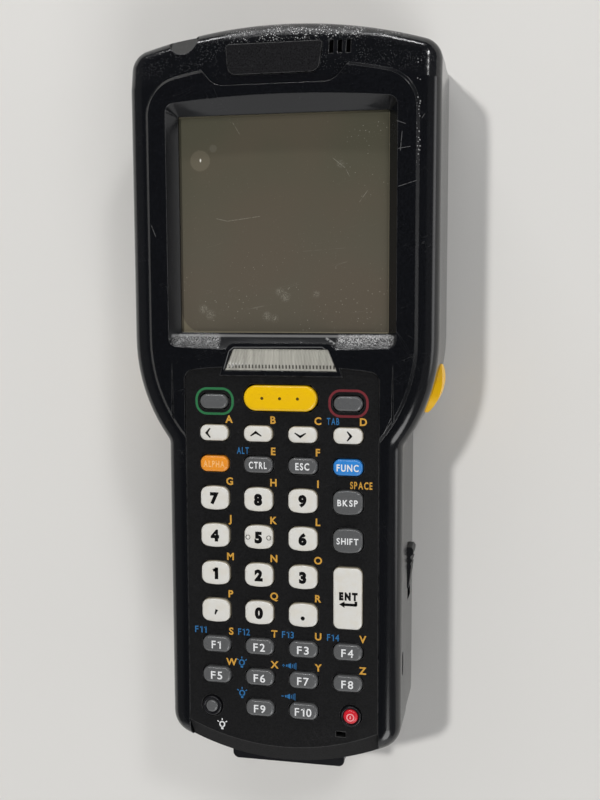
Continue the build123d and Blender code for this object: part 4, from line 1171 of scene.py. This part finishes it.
def lens_finish():
    paint = Paint("light_guide_clear", (0.50, 0.49, 0.47), 0.22, Coat_Weight=0.6, Coat_Roughness=0.1)
    from_foot = paint.axis("Y") - lens_low.y / MM
    low_edge = from_foot.below(1.5, 0.4) * from_foot.above(0.5, 0.2)
    teeth = (paint.axis("X") * (RIBS * MM / LENS_WIDTH)).math("FRACT").above(0.5, 0.3)
    across = paint.noise(1.1, 2.0, paint.mapped((1, 30, 1))).above(0.5, 0.5)
    shade = most([low_edge * teeth * 0.95, across * 0.35])
    paint.set(Base_Color=paint.blend(shade, (0.48, 0.47, 0.42), (0.05, 0.045, 0.04)))
    return paint.material


lens = paint_all(light_guide(), lens_finish())
lens.name = "light_guide"
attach(lens, "root")
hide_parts("led_lens")
print("light guide has", len(lens.data.polygons), "faces")

# %% [markdown]
# ## Studio
# The terminal lies on a pale matt floor. The floor's underside is clear, so that a view from
# below isn't blocked.


# %% Floor
def floor_finish():
    paint = Paint("studio_floor", (0.72, 0.71, 0.69), 0.75)
    backfacing = paint.node("ShaderNodeNewGeometry", output="Backfacing")
    clear = paint.node("ShaderNodeBsdfTransparent")
    mixed = paint.node("ShaderNodeMixShader", None, {0: backfacing, 2: clear})
    paint.tree.links.new(paint.shader.outputs[0], mixed.socket.node.inputs[1])
    paint.tree.links.new(mixed.socket, paint.tree.nodes["Material Output"].inputs["Surface"])
    return paint.material


floor = added(bpy.ops.mesh.primitive_plane_add, size=4.0, location=(0, 0, 0))
floor.name = "floor"
paint_all(floor, floor_finish())
print("floor laid")


# %% [markdown]
# ## Light
# Black plastic shows what it mirrors more than its own colour. The world is therefore dark
# straight above and bright low down, so that flat faces stay black and rounded edges light up.
# A long strip lamp past the head draws the glare along the crown. The window shades the floor
# and is kept out of the mirrors.

# %% Lamps and world
def lamp(kind, name, place, energy):
    """A lamp that looks at the terminal from its place."""
    made = added(bpy.ops.object.light_add, type=kind, location=place)
    made.name = name
    made.data.energy = energy
    made.rotation_euler = Vector(place).to_track_quat("Z", "Y").to_euler()
    return made


def soft_sun(name, place, strength, spread):
    """Light from one direction, as from a large far window; spread is its width in degrees."""
    sun = lamp("SUN", name, place, strength)
    sun.data.angle = math.radians(spread)
    return sun


window = soft_sun("window", (-0.58, 0.58, 1.82), 1.42, 4)
window.data.color = (1.0, 0.99, 0.97)
window.visible_glossy = False  # it shades the floor, and puts no glare on the flat face
soft_sun("fill_head", (0.84, 1.24, 1.32), 0.5, 8)
soft_sun("fill_foot", (0.80, -1.24, 1.36), 0.9, 30)
strip = lamp("AREA", "strip_light", (-0.12, 0.95, 0.35), 3.8)
strip.data.shape = "RECTANGLE"
strip.data.size, strip.data.size_y = 0.70, 0.035

AIR_ABOVE = 0.03
AIR_SIDES = (  # axis, the share of it past which the air is bright, softness, brightness
    ("X", 0.95, 0.06, 2.3), ("X", 0.45, 0.3, 0.15), ("X", -0.50, 0.3, 0.14),
    ("Y", -0.72, 0.3, 0.9), ("Y", 0.93, 0.08, 0.06),
)


def studio_air():
    """A world that is dark straight above and bright low down, most on the right."""
    world = bpy.data.worlds.new("studio_air")
    bpy.context.scene.world = world
    air = Graph(world)
    direction = air.node("ShaderNodeTexCoord", output="Generated")
    level = AIR_ABOVE
    for axis, past, softness, brightness in AIR_SIDES:
        along = air.node("ShaderNodeSeparateXYZ", None, [direction], output=axis)
        side = along.above(past, softness) if past > 0 else along.below(past, softness)
        level = (side * brightness).math("MAXIMUM", level)
    background = air.tree.nodes["Background"]
    air.feed(background.inputs["Strength"], level)
    air.feed(background.inputs["Color"], (1, 1, 1, 1))


studio_air()
print("lamps set")

# %% [markdown]
# ## Camera
# The camera stands almost square to the face, a little towards the head and to the right,
# about 30 cm away.

# %% Camera
CAMERA_PLACE = Vector((57.98, 31.66, 295.29)) * MM
CAMERA_TURN = (-6.2705, 11.5763, -0.1935)  # degrees
SENSOR = 36.0
LENS = 47.25

camera_data = bpy.data.cameras.new("camera")
camera = bpy.data.objects.new("camera", camera_data)
bpy.context.scene.collection.objects.link(camera)
camera.location = CAMERA_PLACE
camera.rotation_euler = [math.radians(a) for a in CAMERA_TURN]
camera_data.sensor_width = SENSOR
camera_data.lens = LENS
camera_data.clip_start = 0.01
bpy.context.scene.camera = camera
bpy.context.scene.view_settings.view_transform = "Standard"
print("camera at", [round(v / MM) for v in CAMERA_PLACE], "mm")

# %% [markdown]
# ## Finish
# Nothing is left selected at the end.

# %% Finish
clear_selection()
